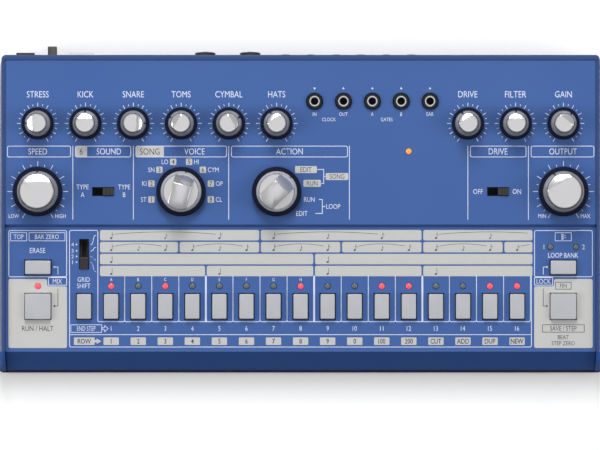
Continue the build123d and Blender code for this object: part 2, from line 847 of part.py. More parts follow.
with BuildPart() as panel_jack_nuts:
    with BuildSketch(panel.offset(upper_face)):
        with Locations(*panel_jack_places):
            RegularPolygon(nut_radius, visible_sides)
            RegularPolygon(
                panel_barrel_radius + fit_clearance,
                visible_sides,
                major_radius=False,
                mode=Mode.SUBTRACT,
            )
    extrude(amount=nut_height)
save("panel_jack_nuts", panel_jack_nuts.part)


# ---- Jacks at the rear: a body on the connector board and a barrel through the wall ----
def barrel_jacks(label, places, size, depth, barrel_radius, proud, bore_radius, bore_depth):
    """Jacks with their bodies inside and their barrels standing proud of the rear wall."""
    mouth_y = rear_wall_y(places[0][1]) + proud
    with BuildPart() as jacks:
        with BuildSketch(rear_plane(socket_y)):
            with Locations(*places):
                Rectangle(*size)
        extrude(amount=depth)
        with BuildSketch(rear_plane(socket_y)):
            with Locations(*places):
                RegularPolygon(barrel_radius, visible_sides)
        extrude(amount=socket_y - mouth_y)
        with BuildSketch(rear_plane(mouth_y)):
            with Locations(*places):
                Circle(bore_radius)
        extrude(amount=bore_depth, mode=Mode.SUBTRACT)
    save(label, jacks.part)


barrel_jacks(
    "rear_jacks",
    rear_jack_places,
    rear_jack_size,
    rear_jack_depth,
    rear_barrel_radius,
    rear_barrel_proud,
    mini_bore_radius,
    mini_bore_depth,
)
barrel_jacks(
    "main_output_jack",
    [main_output_place],
    main_output_size,
    main_output_depth,
    main_barrel_radius,
    main_barrel_proud,
    main_bore_radius,
    main_bore_depth,
)

# ---- Five-pin sockets: a ring-shaped mouth around a core that stands out of the wall ----
midi_core_y = rear_wall_y(midi_places[0][1]) + midi_core_proud
with BuildPart() as midi_sockets:
    with BuildSketch(rear_plane(socket_y)):
        with Locations(*midi_places):
            Rectangle(*midi_size)
    extrude(amount=midi_depth)
    with BuildSketch(rear_plane(socket_y)):
        with Locations(*midi_places):
            RegularPolygon(midi_mouth_radius, visible_sides)
            RegularPolygon(midi_core_radius, visible_sides, mode=Mode.SUBTRACT)
    extrude(amount=midi_ring_depth, mode=Mode.SUBTRACT)
    with BuildSketch(rear_plane(socket_y)):
        with Locations(*midi_places):
            RegularPolygon(midi_core_radius, visible_sides)
    extrude(amount=socket_y - midi_core_y)
save("midi_sockets", midi_sockets.part)

# ---- Square sockets for data and for power ----
usb_mouth_y = rear_wall_y(usb_place[1]) + box_socket_proud
with BuildPart() as usb_socket:
    with BuildSketch(rear_plane(usb_mouth_y)):
        with Locations(usb_place):
            Rectangle(*usb_size)
    extrude(amount=usb_depth)
    with BuildSketch(rear_plane(usb_mouth_y)):
        with Locations(usb_place):
            Rectangle(*usb_mouth)
            Rectangle(*usb_tongue, mode=Mode.SUBTRACT)
    extrude(amount=usb_mouth_depth, mode=Mode.SUBTRACT)
save("usb_socket", usb_socket.part)

dc_mouth_y = rear_wall_y(dc_place[1]) + box_socket_proud
with BuildPart() as dc_socket:
    with BuildSketch(rear_plane(dc_mouth_y)):
        with Locations(dc_place):
            Rectangle(*dc_size)
    extrude(amount=dc_depth)
    with BuildSketch(rear_plane(dc_mouth_y)):
        with Locations(dc_place):
            RegularPolygon(dc_mouth_radius, visible_sides)
    extrude(amount=dc_mouth_depth, mode=Mode.SUBTRACT)
    with BuildSketch(rear_plane(dc_mouth_y - dc_pin_set_back)):
        with Locations(dc_place):
            RegularPolygon(dc_pin_radius, hidden_sides)
    extrude(amount=dc_mouth_depth - dc_pin_set_back)
save("dc_socket", dc_socket.part)

# ---- Power switch: a lever that slides sideways in its body ----
with BuildPart() as power_switch:
    with BuildSketch(rear_plane(socket_y)):
        with Locations(power_slot_place):
            Rectangle(*power_body_size)
    extrude(amount=power_body_depth)
    with BuildSketch(rear_plane(socket_y)):
        with Locations(power_slot_place):
            Rectangle(lever_slot_length + 2 * fit_clearance, lever_height + 2 * fit_clearance)
    extrude(amount=lever_entry + lever_gap, mode=Mode.SUBTRACT)
save("power_switch", power_switch.part)

with BuildPart() as power_lever:
    with BuildSketch(rear_plane(rear_y + lever_reach)):
        with Locations((power_x, power_z)):
            Rectangle(lever_width, lever_height)
    extrude(amount=rear_y + lever_reach - socket_y + lever_entry)
save("power_lever", power_lever.part)

# ---- Ribbon cable between the two boards, with a plug at each end ----
upper_plug_y, upper_plug_z = slope_point(upper_plug_d, board_under - plug_height / 2)
lower_run_z = connector_board_top + plug_height / 2
fold_y = upper_plug_y - plug_size[1] / 2 - ribbon_fold
with BuildPart() as ribbon_cable:
    with BuildSketch(Plane.XY.offset(connector_board_top)):
        with Locations((ribbon_x, lower_plug_y)):
            Rectangle(*plug_size)
    extrude(amount=plug_height)
    with BuildSketch(panel.offset(board_under)):
        with Locations((ribbon_x, -upper_plug_d)):
            Rectangle(*plug_size)
    extrude(amount=-plug_height)
    with BuildSketch(Plane.YZ.offset(ribbon_x - ribbon_width / 2)):
        with BuildLine():
            FilletPolyline(
                (lower_plug_y - plug_size[1] / 2 + ribbon_entry, lower_run_z),
                (fold_y, lower_run_z),
                (fold_y, upper_plug_z),
                (upper_plug_y - plug_size[1] / 2 + ribbon_entry, upper_plug_z),
                radius=ribbon_bend,
            )
        trace(line_width=ribbon_thickness)
    extrude(amount=ribbon_width)
save("ribbon_cable", ribbon_cable.part)
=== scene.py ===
import json
from math import atan2, cos, degrees, pi, radians, sin, tan

import bmesh
import bpy
from mathutils import Matrix, Vector


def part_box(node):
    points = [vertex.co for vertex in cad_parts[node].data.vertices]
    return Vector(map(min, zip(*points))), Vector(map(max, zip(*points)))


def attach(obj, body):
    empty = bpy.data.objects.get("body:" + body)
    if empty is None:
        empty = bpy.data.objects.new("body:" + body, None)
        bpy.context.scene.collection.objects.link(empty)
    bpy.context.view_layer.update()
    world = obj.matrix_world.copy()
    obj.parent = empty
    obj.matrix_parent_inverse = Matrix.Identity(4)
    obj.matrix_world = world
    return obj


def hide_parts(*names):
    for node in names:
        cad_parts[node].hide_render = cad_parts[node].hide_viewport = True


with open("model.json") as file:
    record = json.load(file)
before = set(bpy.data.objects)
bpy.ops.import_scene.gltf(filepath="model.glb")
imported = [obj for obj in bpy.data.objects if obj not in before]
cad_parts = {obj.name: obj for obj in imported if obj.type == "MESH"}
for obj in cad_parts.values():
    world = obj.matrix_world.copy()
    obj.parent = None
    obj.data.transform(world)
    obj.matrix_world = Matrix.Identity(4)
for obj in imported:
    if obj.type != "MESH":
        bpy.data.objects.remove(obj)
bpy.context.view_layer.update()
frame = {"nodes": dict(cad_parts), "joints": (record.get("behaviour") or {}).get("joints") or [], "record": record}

# ---- Sloping panel -------------------------------------------------------------------------
# Every control stands on one sloping plane. A place on it is x, and d measured down the slope
# from the rear top edge of the case. A level is a height over the tops of the rims.
mm = 0.001
joints = {joint["child"]: joint for joint in frame["joints"]}
off_panel = -Vector(joints["speed_knob"]["axis"])
across = Vector((1, 0, 0))
up_slope = off_panel.cross(across)
large_row = 68.7 * mm
speed_seat = Vector(joints["speed_knob"]["pos_m"])
rear_edge = speed_seat - across * speed_seat.x + up_slope * large_row
panel_turn = Matrix((across, up_slope, off_panel)).transposed().to_4x4()


def on_panel(x, d, level, turn=0.0):
    """Matrix that puts a piece, made upright at the origin, on the panel, turned clockwise."""
    place = rear_edge + across * x - up_slope * d + off_panel * level
    return Matrix.Translation(place) @ panel_turn @ Matrix.Rotation(-radians(turn), 4, "Z")


def add_object(name, data):
    """Add an object to the scene, around a camera, a light or a mesh."""
    item = bpy.data.objects.new(name, data)
    bpy.context.scene.collection.objects.link(item)
    return item


# ---- Camera --------------------------------------------------------------------------------
# A long lens, far out along the panel's normal, so that the knobs show hardly any perspective.
# The width in view is taken at the upper part of the panel.
upper_face = -0.8 * mm
view_range = 3.4
view_width = 301.2 * mm
view_x = -0.3 * mm
view_d = 85.5 * mm
camera_data = bpy.data.cameras.new("camera")
camera_data.lens = camera_data.sensor_width * (view_range + upper_face) / view_width
camera_data.clip_end = 20
camera = add_object("camera", camera_data)
camera.matrix_world = on_panel(view_x, view_d, view_range)
bpy.context.scene.camera = camera
bpy.context.scene.view_settings.view_transform = "Standard"


# ---- Studio --------------------------------------------------------------------------------
# A white floor, a wide softbox overhead, one at the rear that the facets of the knobs catch, one
# at each side for the flanks of the caps, and a surround that is brightest over the rear.
def paint(red, green, blue):
    """Linear colour of an sRGB colour given in steps of 255."""
    steps = (red / 255, green / 255, blue / 255)
    linear = [s / 12.92 if s <= 0.04045 else ((s + 0.055) / 1.055) ** 2.4 for s in steps]
    return (*linear, 1.0)


class Shade:
    """A value that varies over a surface. Arithmetic on it adds Math nodes to its tree."""

    def __init__(self, nodes, socket):
        self.nodes = nodes
        self.socket = socket

    def __add__(self, other):
        return self.nodes.math("ADD", self, other)

    def __mul__(self, other):
        return self.nodes.math("MULTIPLY", self, other)

    __radd__ = __add__
    __rmul__ = __mul__


class Nodes:
    """The node tree around one shader."""

    def __init__(self, owner, shader):
        owner.use_nodes = True
        self.tree = owner.node_tree
        self.shader = self.tree.nodes[shader]

    def feed(self, socket, value, node=None):
        """Set a socket of the shader, or of another node, to a value or to a shade."""
        target = (node or self.shader).inputs[socket]
        if isinstance(value, Shade):
            self.tree.links.new(value.socket, target)
        else:
            target.default_value = value

    def node(self, kind, inputs, settings=None, output=0):
        """Add a node with its settings and its inputs, and return one of its outputs."""
        node = self.tree.nodes.new(kind)
        for setting, value in (settings or {}).items():
            setattr(node, setting, value)
        for socket, value in inputs.items():
            self.feed(socket, value, node)
        return Shade(self, node.outputs[output])

    def math(self, operation, *values):
        """Sum, product, comparison or other Math node of some values."""
        return self.node("ShaderNodeMath", dict(enumerate(values)), {"operation": operation})

    def along(self, axis, vector):
        """How far a vector reaches along an axis."""
        inputs = {0: vector, 1: tuple(axis)}
        return self.node("ShaderNodeVectorMath", inputs, {"operation": "DOT_PRODUCT"}, "Value")


class Finish(Nodes):
    """A material with one Principled shader, and nodes for what varies over its surface."""

    def __init__(self, name, colour=None, metallic=0.0, specular=0.5):
        self.material = bpy.data.materials.new(name)
        super().__init__(self.material, "Principled BSDF")
        self.feed("Metallic", metallic)
        self.feed("Specular IOR Level", specular)
        if colour:
            self.feed("Base Color", colour)

    def place(self):
        """Place on the object."""
        return self.node("ShaderNodeTexCoord", {}, output="Object")

    def noise(self, size, detail=2.0, seed=0.0):
        """Noise with features of a size in metres, from 0 to 1."""
        shifted = self.node("ShaderNodeMapping", {"Vector": self.place(), "Location": (seed, 0, 0)})
        inputs = {"Vector": shifted, "Scale": 1 / size, "Detail": detail}
        return self.node("ShaderNodeTexNoise", inputs)

    def blend(self, share, first, second):
        """Colour between two colours, all of the second where the share is 1."""
        return self.node("ShaderNodeMix", {0: share, 6: first, 7: second}, {"data_type": "RGBA"}, 2)

    def gloss(self, least, spread, unevenness):
        """Roughness from a least value up, by a spread where the unevenness is 1."""
        self.feed("Roughness", least + unevenness * spread)

    def bump(self, height, depth, strength):
        """Raise the surface by a height that runs from 0 to 1."""
        inputs = {"Height": height, "Distance": depth, "Strength": strength}
        self.feed("Normal", self.node("ShaderNodeBump", inputs))

    def grain(self, noise, least, spread, depth, strength):
        """Fine grain of a moulded surface, in its gloss and in its height."""
        self.gloss(least, spread, noise)
        self.bump(noise, depth, strength)


def plain_finish(name, colour, least, spread, patch, metallic=0.0, specular=0.5):
    """Finish in one colour, its gloss a little uneven over patches of a size."""
    finish = Finish(name, colour, metallic, specular)
    finish.gloss(least, spread, finish.noise(patch))
    return finish


floor_size = 6.0
floor_finish = Finish("studio_floor", (0.93, 0.93, 0.93, 1))
floor_finish.feed("Roughness", 0.6)
floor_mesh = bpy.data.meshes.new("floor")
floor_form = bmesh.new()
bmesh.ops.create_grid(floor_form, x_segments=1, y_segments=1, size=floor_size / 2)
floor_form.to_mesh(floor_mesh)
floor_form.free()
floor_mesh.materials.append(floor_finish.material)
add_object("floor", floor_mesh)

surround = bpy.data.worlds.new("surround")
sky = Nodes(surround, "Background")
brightest = Vector((0, 0.55, 0.83)).normalized()
direction = sky.node("ShaderNodeTexCoord", {}, output="Generated")
glow = {"From Min": 0.1, "From Max": 0.95, "To Min": 0.03, "To Max": 0.42}
glow["Value"] = sky.along(brightest, direction)
sky.feed("Color", (1, 1, 1, 1))
sky.feed("Strength", sky.node("ShaderNodeMapRange", glow))
bpy.context.scene.world = surround


def softbox(name, turn, lean, size, power, distance=1.6):
    """Rectangular light at a clockwise turn around the panel, leaning from its normal."""
    sideways = across * sin(radians(turn)) + up_slope * cos(radians(turn))
    ray = off_panel * cos(radians(lean)) + sideways * sin(radians(lean))
    light = bpy.data.lights.new(name, "AREA")
    light.shape = "RECTANGLE"
    light.size, light.size_y = size
    light.energy = power
    aim = (-ray).to_track_quat("-Z", "Y").to_matrix().to_4x4()
    add_object(name, light).matrix_world = Matrix.Translation(ray * distance) @ aim


softbox("overhead", 0, 0, (2.2, 2.2), 10.5, distance=4.2)
softbox("rear", -4, 41, (0.5, 0.7), 15)
softbox("left", -95, 44, (0.65, 0.8), 9)
softbox("right", 95, 44, (0.65, 0.8), 7.5)

# ---- Top case ------------------------------------------------------------------------------
# One injection moulding in blue plastic with a fine satin grain. Rims stand up around the
# panel on three sides, and a thin groove separates them from it. The front is painted a
# deeper blue as painted shade, and a strip along its foot darker still as painted shadow.
merge_distance = 0.001 * mm
sharp_angle = radians(32)


def show(name, form, finish, body, replaces=()):
    """Turn a finished form into a piece, in its finish, that rides on a body."""
    mesh = bpy.data.meshes.new(name)
    form.to_mesh(mesh)
    form.free()
    mesh.materials.append(finish.material)
    piece = add_object(name, mesh)
    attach(piece, body)
    if replaces:
        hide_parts(*replaces)


def merge(form):
    """Merge points of a form that share a place."""
    bmesh.ops.remove_doubles(form, verts=form.verts, dist=merge_distance)


def soften(form):
    """Smooth shading that keeps sharp edges sharp."""
    for face in form.faces:
        face.smooth = True
    for edge in form.edges:
        edge.smooth = edge.is_manifold and edge.calc_face_angle() < sharp_angle


def show_solid(node, finish):
    """Show the solid of a node with its loose triangles merged, so that it shades smoothly."""
    form = bmesh.new()
    form.from_mesh(frame["nodes"][node].data)
    merge(form)
    soften(form)
    show(node + "_shell", form, finish, "case", [node])


field_half = 148.6 * mm
rear_rim = 2.3 * mm
front_start = 149.2 * mm
# Height of the strip of painted shadow along the foot of the front face.
foot_shadow_height = 6.8 * mm
blue = Finish("blue_satin_moulding", specular=0.2)
tone = blue.noise(60 * mm, seed=3.0)
blue_grain = blue.noise(0.35 * mm, detail=1.0)
spot = blue.place()
side_reach = blue.math("ABSOLUTE", blue.along(across, spot))
down_slope = blue.along(-up_slope, spot)
edge_down_slope = (-up_slope).dot(rear_edge)
between_rims = blue.math("LESS_THAN", side_reach, field_half)
before_rim = blue.math("GREATER_THAN", down_slope, edge_down_slope + rear_rim)
on_front = blue.math("GREATER_THAN", down_slope, edge_down_slope + front_start)
foot_shadow_mask = blue.math("LESS_THAN", blue.along((0, 0, 1), spot), foot_shadow_height)
panel_colour = blue.blend(tone, paint(57, 89, 150), paint(64, 95, 154))
moulded = blue.blend(between_rims * before_rim, paint(48, 70, 118), panel_colour)
# Painted shade: the front face is coloured a darker blue than the panel, as it faces away from the light, and its
# lowest strip a near-black blue as painted shadow from the floor.
painted_front_shade = blue.blend(foot_shadow_mask, paint(25, 67, 132), paint(6, 16, 44))
blue.feed("Base Color", blue.blend(on_front, moulded, painted_front_shade))
blue.feed("Roughness", 0.36 + blue_grain * 0.12 + on_front * 0.4)
blue.bump(blue_grain, 0.02 * mm, 0.5)
show_solid("top_case", blue)

# ---- Bottom case and feet ------------------------------------------------------------------
# A black tray, moulded in plastic, that closes the shell from below. Six steel screws hold it,
# and it stands on four rubber feet.
black = Finish("black_moulding", paint(30, 30, 33))
black.grain(black.noise(0.4 * mm, detail=1.0, seed=5.0), 0.48, 0.14, 0.03 * mm, 0.5)
show_solid("bottom_case", black)


def dress(finish, *nodes):
    """Give the solids of some nodes their finish."""
    for node in nodes:
        frame["nodes"][node].material_slots[0].material = finish.material


rubber = Finish("foot_rubber", paint(28, 28, 30))
rubber.feed("Roughness", 0.85)
rubber.bump(rubber.noise(0.8 * mm, seed=2.0), 0.05 * mm, 0.6)
dress(rubber, "rubber_feet")
screw_steel = plain_finish("dark_screw_steel", paint(120, 120, 124), 0.28, 0.2, 1.5 * mm, metallic=1.0)
dress(screw_steel, "case_screws")

# ---- Boards and what stands on them --------------------------------------------------------
# Two green boards, joined by a flat cable, with pots, rotary switches, key switches and slide
# switches soldered on. All hidden in the closed case, apart from what shows through a slot.
board = plain_finish("board_green", paint(16, 74, 50), 0.32, 0.2, 4 * mm)
body_steel = plain_finish("control_steel", paint(178, 178, 180), 0.3, 0.25, 2 * mm, metallic=1.0)
switch_black = plain_finish("switch_black", paint(22, 22, 24), 0.5, 0.2, 1 * mm)
ribbon = plain_finish("ribbon_grey", paint(150, 150, 154), 0.5, 0.2, 1.2 * mm)
dress(board, "main_board", "connector_board")
dress(body_steel, "potentiometers", "rotary_switches")
dress(switch_black, "tact_switches", "slide_switches", "power_switch")
dress(ribbon, "ribbon_cable")


# ---- Round knobs ---------------------------------------------------------------------------
# A black skirt, and a tapered cap in silver lacquer pressed on it, with a dark grey ring of painted shade around
# it under the chamfered top.
# The cap's top is chamfered, and falls away past a chord on the side that the pointer marks.
def lathe(form, profile, steps=96):
    """Turn a profile of (radius, height) points that ends on the axis, or where it starts."""
    verts = [form.verts.new((radius, 0, height)) for radius, height in profile]
    turned = verts + [form.edges.new(pair) for pair in zip(verts, verts[1:])]
    bmesh.ops.spin(
        form, geom=turned, cent=(0, 0, 0), axis=(0, 0, 1), angle=2 * pi, steps=steps, use_merge=True
    )
    merge(form)
    bmesh.ops.recalc_face_normals(form, faces=form.faces)


def build(name, form, place, finish, body, replaces=()):
    """Move a form to its place and show it as a piece."""
    merge(form)
    bmesh.ops.recalc_face_normals(form, faces=form.faces)
    soften(form)
    form.transform(place)
    show(name, form, finish, body, replaces)


def build_turned(name, profile, place, finish, body, replaces=(), steps=96):
    """Turn a profile, move it to its place and show it as a piece."""
    form = bmesh.new()
    lathe(form, profile, steps)
    build(name, form, place, finish, body, replaces)


def ring(inner, outer, foot, top):
    """Profile of a plain ring."""
    return [(inner, foot), (outer, foot), (outer, top), (inner, top), (inner, foot)]


def moved_verts(extruded):
    """Points that an extrusion has made, ready to be moved."""
    return [item for item in extruded["geom"] if isinstance(item, bmesh.types.BMVert)]


def cut(form, point, direction, drop=True, near=0.0):
    """Cut a form by a plane, and drop what lies past it."""
    geometry = form.verts[:] + form.edges[:] + form.faces[:]
    return bmesh.ops.bisect_plane(
        form, geom=geometry, plane_co=point, plane_no=direction, clear_outer=drop, dist=near
    )["geom_cut"]


def slice_off(form, point, direction):
    """Cut away what lies past a plane, close the cut, and return the new face."""
    geometry = cut(form, point, direction, near=0.0005 * mm)
    rim = [item for item in geometry if isinstance(item, bmesh.types.BMEdge)]
    return bmesh.ops.contextual_create(form, geom=rim)["faces"][0]


def bevel(form, edges, width, segments=2):
    """Round some edges."""
    bmesh.ops.bevel(
        form, geom=edges, offset=width, offset_type="OFFSET", segments=segments, profile=0.5,
        affect="EDGES", material=-1, clamp_overlap=True,
    )


silver = Finish("silver_lacquer")
flake = silver.noise(0.25 * mm, detail=1.0, seed=7.0)
facing = silver.along(off_panel, silver.node("ShaderNodeNewGeometry", {}, output="Normal"))
least_facing = 0.55
on_top = silver.math("GREATER_THAN", facing, least_facing)
silver.feed("Base Color", silver.blend(flake, paint(193, 193, 196), paint(209, 209, 210)))
silver.gloss(0.15, 0.09, flake)
silver.feed("Metallic", 0.12 + on_top * 0.58)
skirt_black = Finish("skirt_black", paint(6, 14, 40), specular=0.12)
skirt_black.grain(skirt_black.noise(0.4 * mm, detail=1.0, seed=9.0), 0.34, 0.16, 0.02 * mm, 0.4)
# Painted shade: a dark grey ring that draws the shaded line under the chamfered top of each cap.
seam_grey = plain_finish("seam_grey", paint(44, 46, 54), 0.64, 0.12, 1 * mm, specular=0.1)

skirt_lift = 0.6 * mm
skirt_edge = 0.45 * mm
shaft_radius = 3 * mm
shaft_depth = 9 * mm
pointer_width = 0.9 * mm
pointer_bite = 1.0 * mm
pointer_proud = 0.05 * mm
chamfer_width = 0.45 * mm
chamfer_drop = 0.35 * mm
facet_slope = radians(12)
facet_round = 0.22 * mm
# Width and drop of the ring of painted shade under each cap's top.
shade_ring_width = 0.3 * mm
shade_ring_drop = 0.02 * mm


def knob_seat(node, turn):
    """Place of a knob, from the joint that it turns on."""
    centre = Vector(joints[node]["pos_m"])
    d = (rear_edge - centre).dot(up_slope)
    return on_panel(centre.x, d, upper_face + skirt_lift, turn)


def quarter_round(radius, height, width, rise, steps=6):
    """Profile of a rounded edge, from a radius inwards by a width and up by a rise."""
    angles = [step / steps * pi / 2 for step in range(steps + 1)]
    return [(radius - width + width * cos(a), height + rise * sin(a)) for a in angles]


def make_skirt(node, turn, radius, height, cap_foot, cap_lean):
    """Black skirt with rounded edges, the shaft under it, and the fin that fills the notch."""
    profile = [(0, -shaft_depth), (shaft_radius, -shaft_depth), (shaft_radius, 0)]
    profile += [(radius - skirt_edge, 0), (radius, skirt_edge * 0.6)]
    profile += quarter_round(radius, height - skirt_edge, skirt_edge, skirt_edge)
    profile += [(0, height)]
    form = bmesh.new()
    lathe(form, profile)
    corners = [
        (cap_foot - pointer_bite, height - pointer_proud),
        (cap_foot + pointer_proud, height - pointer_proud),
        (cap_foot - pointer_bite + pointer_proud, height + pointer_bite / cap_lean),
    ]
    side = form.faces.new([form.verts.new((-pointer_width / 2, y, z)) for y, z in corners])
    fin = bmesh.ops.extrude_face_region(form, geom=[side])
    bmesh.ops.translate(form, verts=moved_verts(fin), vec=(pointer_width, 0, 0))
    build(node + "_skirt", form, knob_seat(node, turn), skirt_black, node, [node])


def make_round_knob(node, turn, skirt_radius, skirt_height, top_level, foot, top, facet):
    """Skirt, tapered silver cap with its facet, and a dark ring of painted shade under the cap's chamfered top."""
    lean = (foot - top) / (top_level - skirt_height)
    make_skirt(node, turn, skirt_radius, skirt_height, foot, lean)
    cap = bmesh.new()
    profile = [(0, skirt_height), (foot, skirt_height), (top + pointer_proud, top_level - chamfer_drop)]
    lathe(cap, profile + [(top - chamfer_width, top_level), (0, top_level)])
    chord = facet * top
    face = slice_off(cap, (0, chord, top_level), (0, sin(facet_slope), cos(facet_slope)))
    bevel(cap, [edge for edge in face.edges if edge.calc_face_angle() > radians(8)], facet_round)
    place = knob_seat(node, turn)
    build(node + "_cap", cap, place, silver, node, [node])
    # The ring of painted shade sits just under the lowest point of the facet.
    shade_ring_top = top_level - (top - chord) * tan(facet_slope) - shade_ring_drop
    shade_ring_outer = top + lean * (top_level - shade_ring_top) + shade_ring_width
    shade_ring = ring(top - shade_ring_width, shade_ring_outer, shade_ring_top - shade_ring_width, shade_ring_top)
    build_turned(node + "_seam", shade_ring, place, seam_grey, node, [node])


small_turns = {"stress_knob": -90, "kick_knob": 0, "snare_knob": 90, "toms_knob": -60, "cymbal_knob": 60}
small_turns |= {"hats_knob": -30, "drive_knob": -30, "filter_knob": 0, "gain_knob": 37}
large_turns = {"speed_knob": 0, "output_knob": -29}
large_skirt = (12.45 * mm, 3.9 * mm)
for node, turn in small_turns.items():
    make_round_knob(node, turn, 8.1 * mm, 3.4 * mm, 14.9 * mm, 6.4 * mm, 4.7 * mm, 0.4)
for node, turn in large_turns.items():
    make_round_knob(node, turn, *large_skirt, 16.4 * mm, 10.3 * mm, 8.55 * mm, 0.5)

# ---- Selector knobs ------------------------------------------------------------------------
# The same skirt and silver finish, with a low disc that carries a tall bar. The bar is flat
# on top, and slopes down to the disc's rim at its pointer end.
selector_turns = {"voice_selector": 15, "mode_selector": 45}
disc_foot_radius = 10.2 * mm
disc_foot = large_skirt[1]
disc_top = 7.4 * mm
disc_lean = 1.5 / 3.5
disc_profile = [(0, disc_foot), (disc_foot_radius, disc_foot), (8.95 * mm, disc_top - 0.3 * mm)]
disc_profile += [(8.6 * mm, disc_top), (0, disc_top)]
bar_half = 4.65 * mm
bar_foot = 4 * mm
bar_top = 16.4 * mm
bar_foot_radius = 9.6 * mm
bar_top_radius = 8.7 * mm
bar_flat_reach = 3.5 * mm
bar_lean = radians(2)
bar_round = 0.2 * mm
for node, turn in selector_turns.items():
    make_skirt(node, turn, *large_skirt, disc_foot_radius, disc_lean)
    place = knob_seat(node, turn)
    build_turned(node + "_disc", disc_profile, place, silver, node, [node])
    bar = bmesh.new()
    bmesh.ops.create_cone(
        bar, cap_ends=True, segments=96, radius1=bar_foot_radius, radius2=bar_top_radius,
        depth=bar_top - bar_foot, matrix=Matrix.Translation((0, 0, (bar_top + bar_foot) / 2)),
    )
    for side in (1, -1):
        slice_off(bar, (side * bar_half, 0, bar_top), (side * cos(bar_lean), 0, sin(bar_lean)))
    pointer_fall = (0, bar_top - disc_top, disc_foot_radius - bar_flat_reach)
    slice_off(bar, (0, bar_flat_reach, bar_top), pointer_fall)
    bevel(bar, [edge for edge in bar.edges if edge.calc_face_angle(0) > radians(25)], bar_round)
    build(node + "_bar", bar, place, silver, node, [node])

# ---- Keys ----------------------------------------------------------------------------------
# Caps moulded in pale grey plastic, with softly rounded edges. Each slides in its own opening,
# on a key switch of the board below. A kind of key is (width, length, d) in millimetres.
key_grey = Finish("key_grey")
key_tone = key_grey.noise(9 * mm, seed=4.0)
key_grey.feed("Base Color", key_grey.blend(key_tone, paint(166, 168, 173), paint(177, 178, 182)))
key_grey.grain(key_grey.noise(0.3 * mm, detail=1.0, seed=6.0), 0.26, 0.12, 0.015 * mm, 0.5)
key_row = 126.4
tall_key = (7.2, 12.5, key_row)
flat_key = (12.8, 6.9, 106.8)
square_key = (13.0, 13.0, key_row)
keys = {f"step_key_{step:02d}": tall_key for step in range(1, 17)}
keys |= {"shift_key": tall_key, "clear_key": flat_key, "group_key": flat_key}
keys |= {"start_key": square_key, "tap_key": square_key}
key_top = 0.2 * mm
key_depth = 8.2 * mm
key_corner = 0.5 * mm
key_edge = 0.6 * mm


def block(form, size, centre=(0, 0, 0)):
    """Add a block of a size around a centre."""
    bmesh.ops.create_cube(form, size=1.0, matrix=Matrix.LocRotScale(centre, None, size))


def middle_of(node):
    """Middle of the box around a node."""
    low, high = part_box(node)
    return (low + high) / 2


for node, (width, length, d) in keys.items():
    form = bmesh.new()
    block(form, (width * mm, length * mm, key_depth), (0, 0, -key_depth / 2))
    upright = [edge for edge in form.edges if abs(edge.verts[0].co.z - edge.verts[1].co.z) > mm]
    bevel(form, upright, key_corner, 3)
    top = [edge for edge in form.edges if min(vert.co.z for vert in edge.verts) > -0.01 * mm]
    bevel(form, top, key_edge, 4)
    place = on_panel(middle_of(node).x, d * mm, key_top)
    build(node + "_cap", form, place, key_grey, node, [node])

# ---- Slide switches ------------------------------------------------------------------------
# Brown-black plastic caps with ribs across their travel, in dark slots. The stem below each
# one drives a switch on the board.
slide_black = Finish("slide_black", paint(46, 42, 41))
slide_black.grain(slide_black.noise(0.5 * mm), 0.42, 0.16, 0.02 * mm, 0.5)
lower_face = -3.0 * mm
scale_slide_x = -108.8 * mm
scale_slide_d = 104.65 * mm
cap_proud = 0.8 * mm
cap_height = 3 * mm
rib_rise = 0.8 * mm
rib_taper = (0.6, 0.9, 1)
stem_size = (3 * mm, 2 * mm, 11 * mm)
stem_middle = (0, 0, -6.5 * mm)


def make_slide(node, place, length, width, ribs):
    """Ribbed cap, its length along the travel, with the stem that goes down to the switch."""
    form = bmesh.new()
    bmesh.ops.create_grid(form, x_segments=2 * ribs + 1, y_segments=1, size=0.5)
    bmesh.ops.scale(form, vec=(length, width, 1), verts=form.verts)
    lines = sorted(form.faces, key=lambda part: part.calc_center_median().x)[1::2]
    for rib in bmesh.ops.extrude_discrete_faces(form, faces=lines)["faces"]:
        around = Matrix.Translation(-rib.calc_center_median())
        bmesh.ops.translate(form, vec=(0, 0, rib_rise), verts=rib.verts)
        bmesh.ops.scale(form, vec=rib_taper, space=around, verts=rib.verts)
    rim = [edge for edge in form.edges if edge.is_boundary]
    wall = bmesh.ops.extrude_edge_only(form, edges=rim)
    bmesh.ops.translate(form, vec=(0, 0, -cap_height), verts=moved_verts(wall))
    bmesh.ops.contextual_create(form, geom=[edge for edge in form.edges if edge.is_boundary])
    block(form, stem_size, stem_middle)
    build(node + "_cap", form, place, slide_black, node, [node])


for node in ("sound_slide", "drive_slide"):
    place = on_panel(middle_of(node).x, large_row, upper_face + cap_proud)
    make_slide(node, place, 5.4 * mm, 3.7 * mm, 3)
place = on_panel(scale_slide_x, scale_slide_d, lower_face + cap_proud, 90)
make_slide("scale_slide", place, 5.9 * mm, 4.2 * mm, 5)


# ---- Lights --------------------------------------------------------------------------------
# Domed lenses of tinted plastic, 3 mm across, that stand in holes of the panel. The lit ones
# glow red, and one glows orange.
def lens_finish(name, colour, glow=None, strength=0.0):
    """Smooth plastic, with a glow where its light is lit."""
    finish = plain_finish(name, colour, 0.22, 0.1, 1 * mm)
    if glow:
        finish.feed("Emission Color", glow)
        finish.feed("Emission Strength", strength)
    return finish


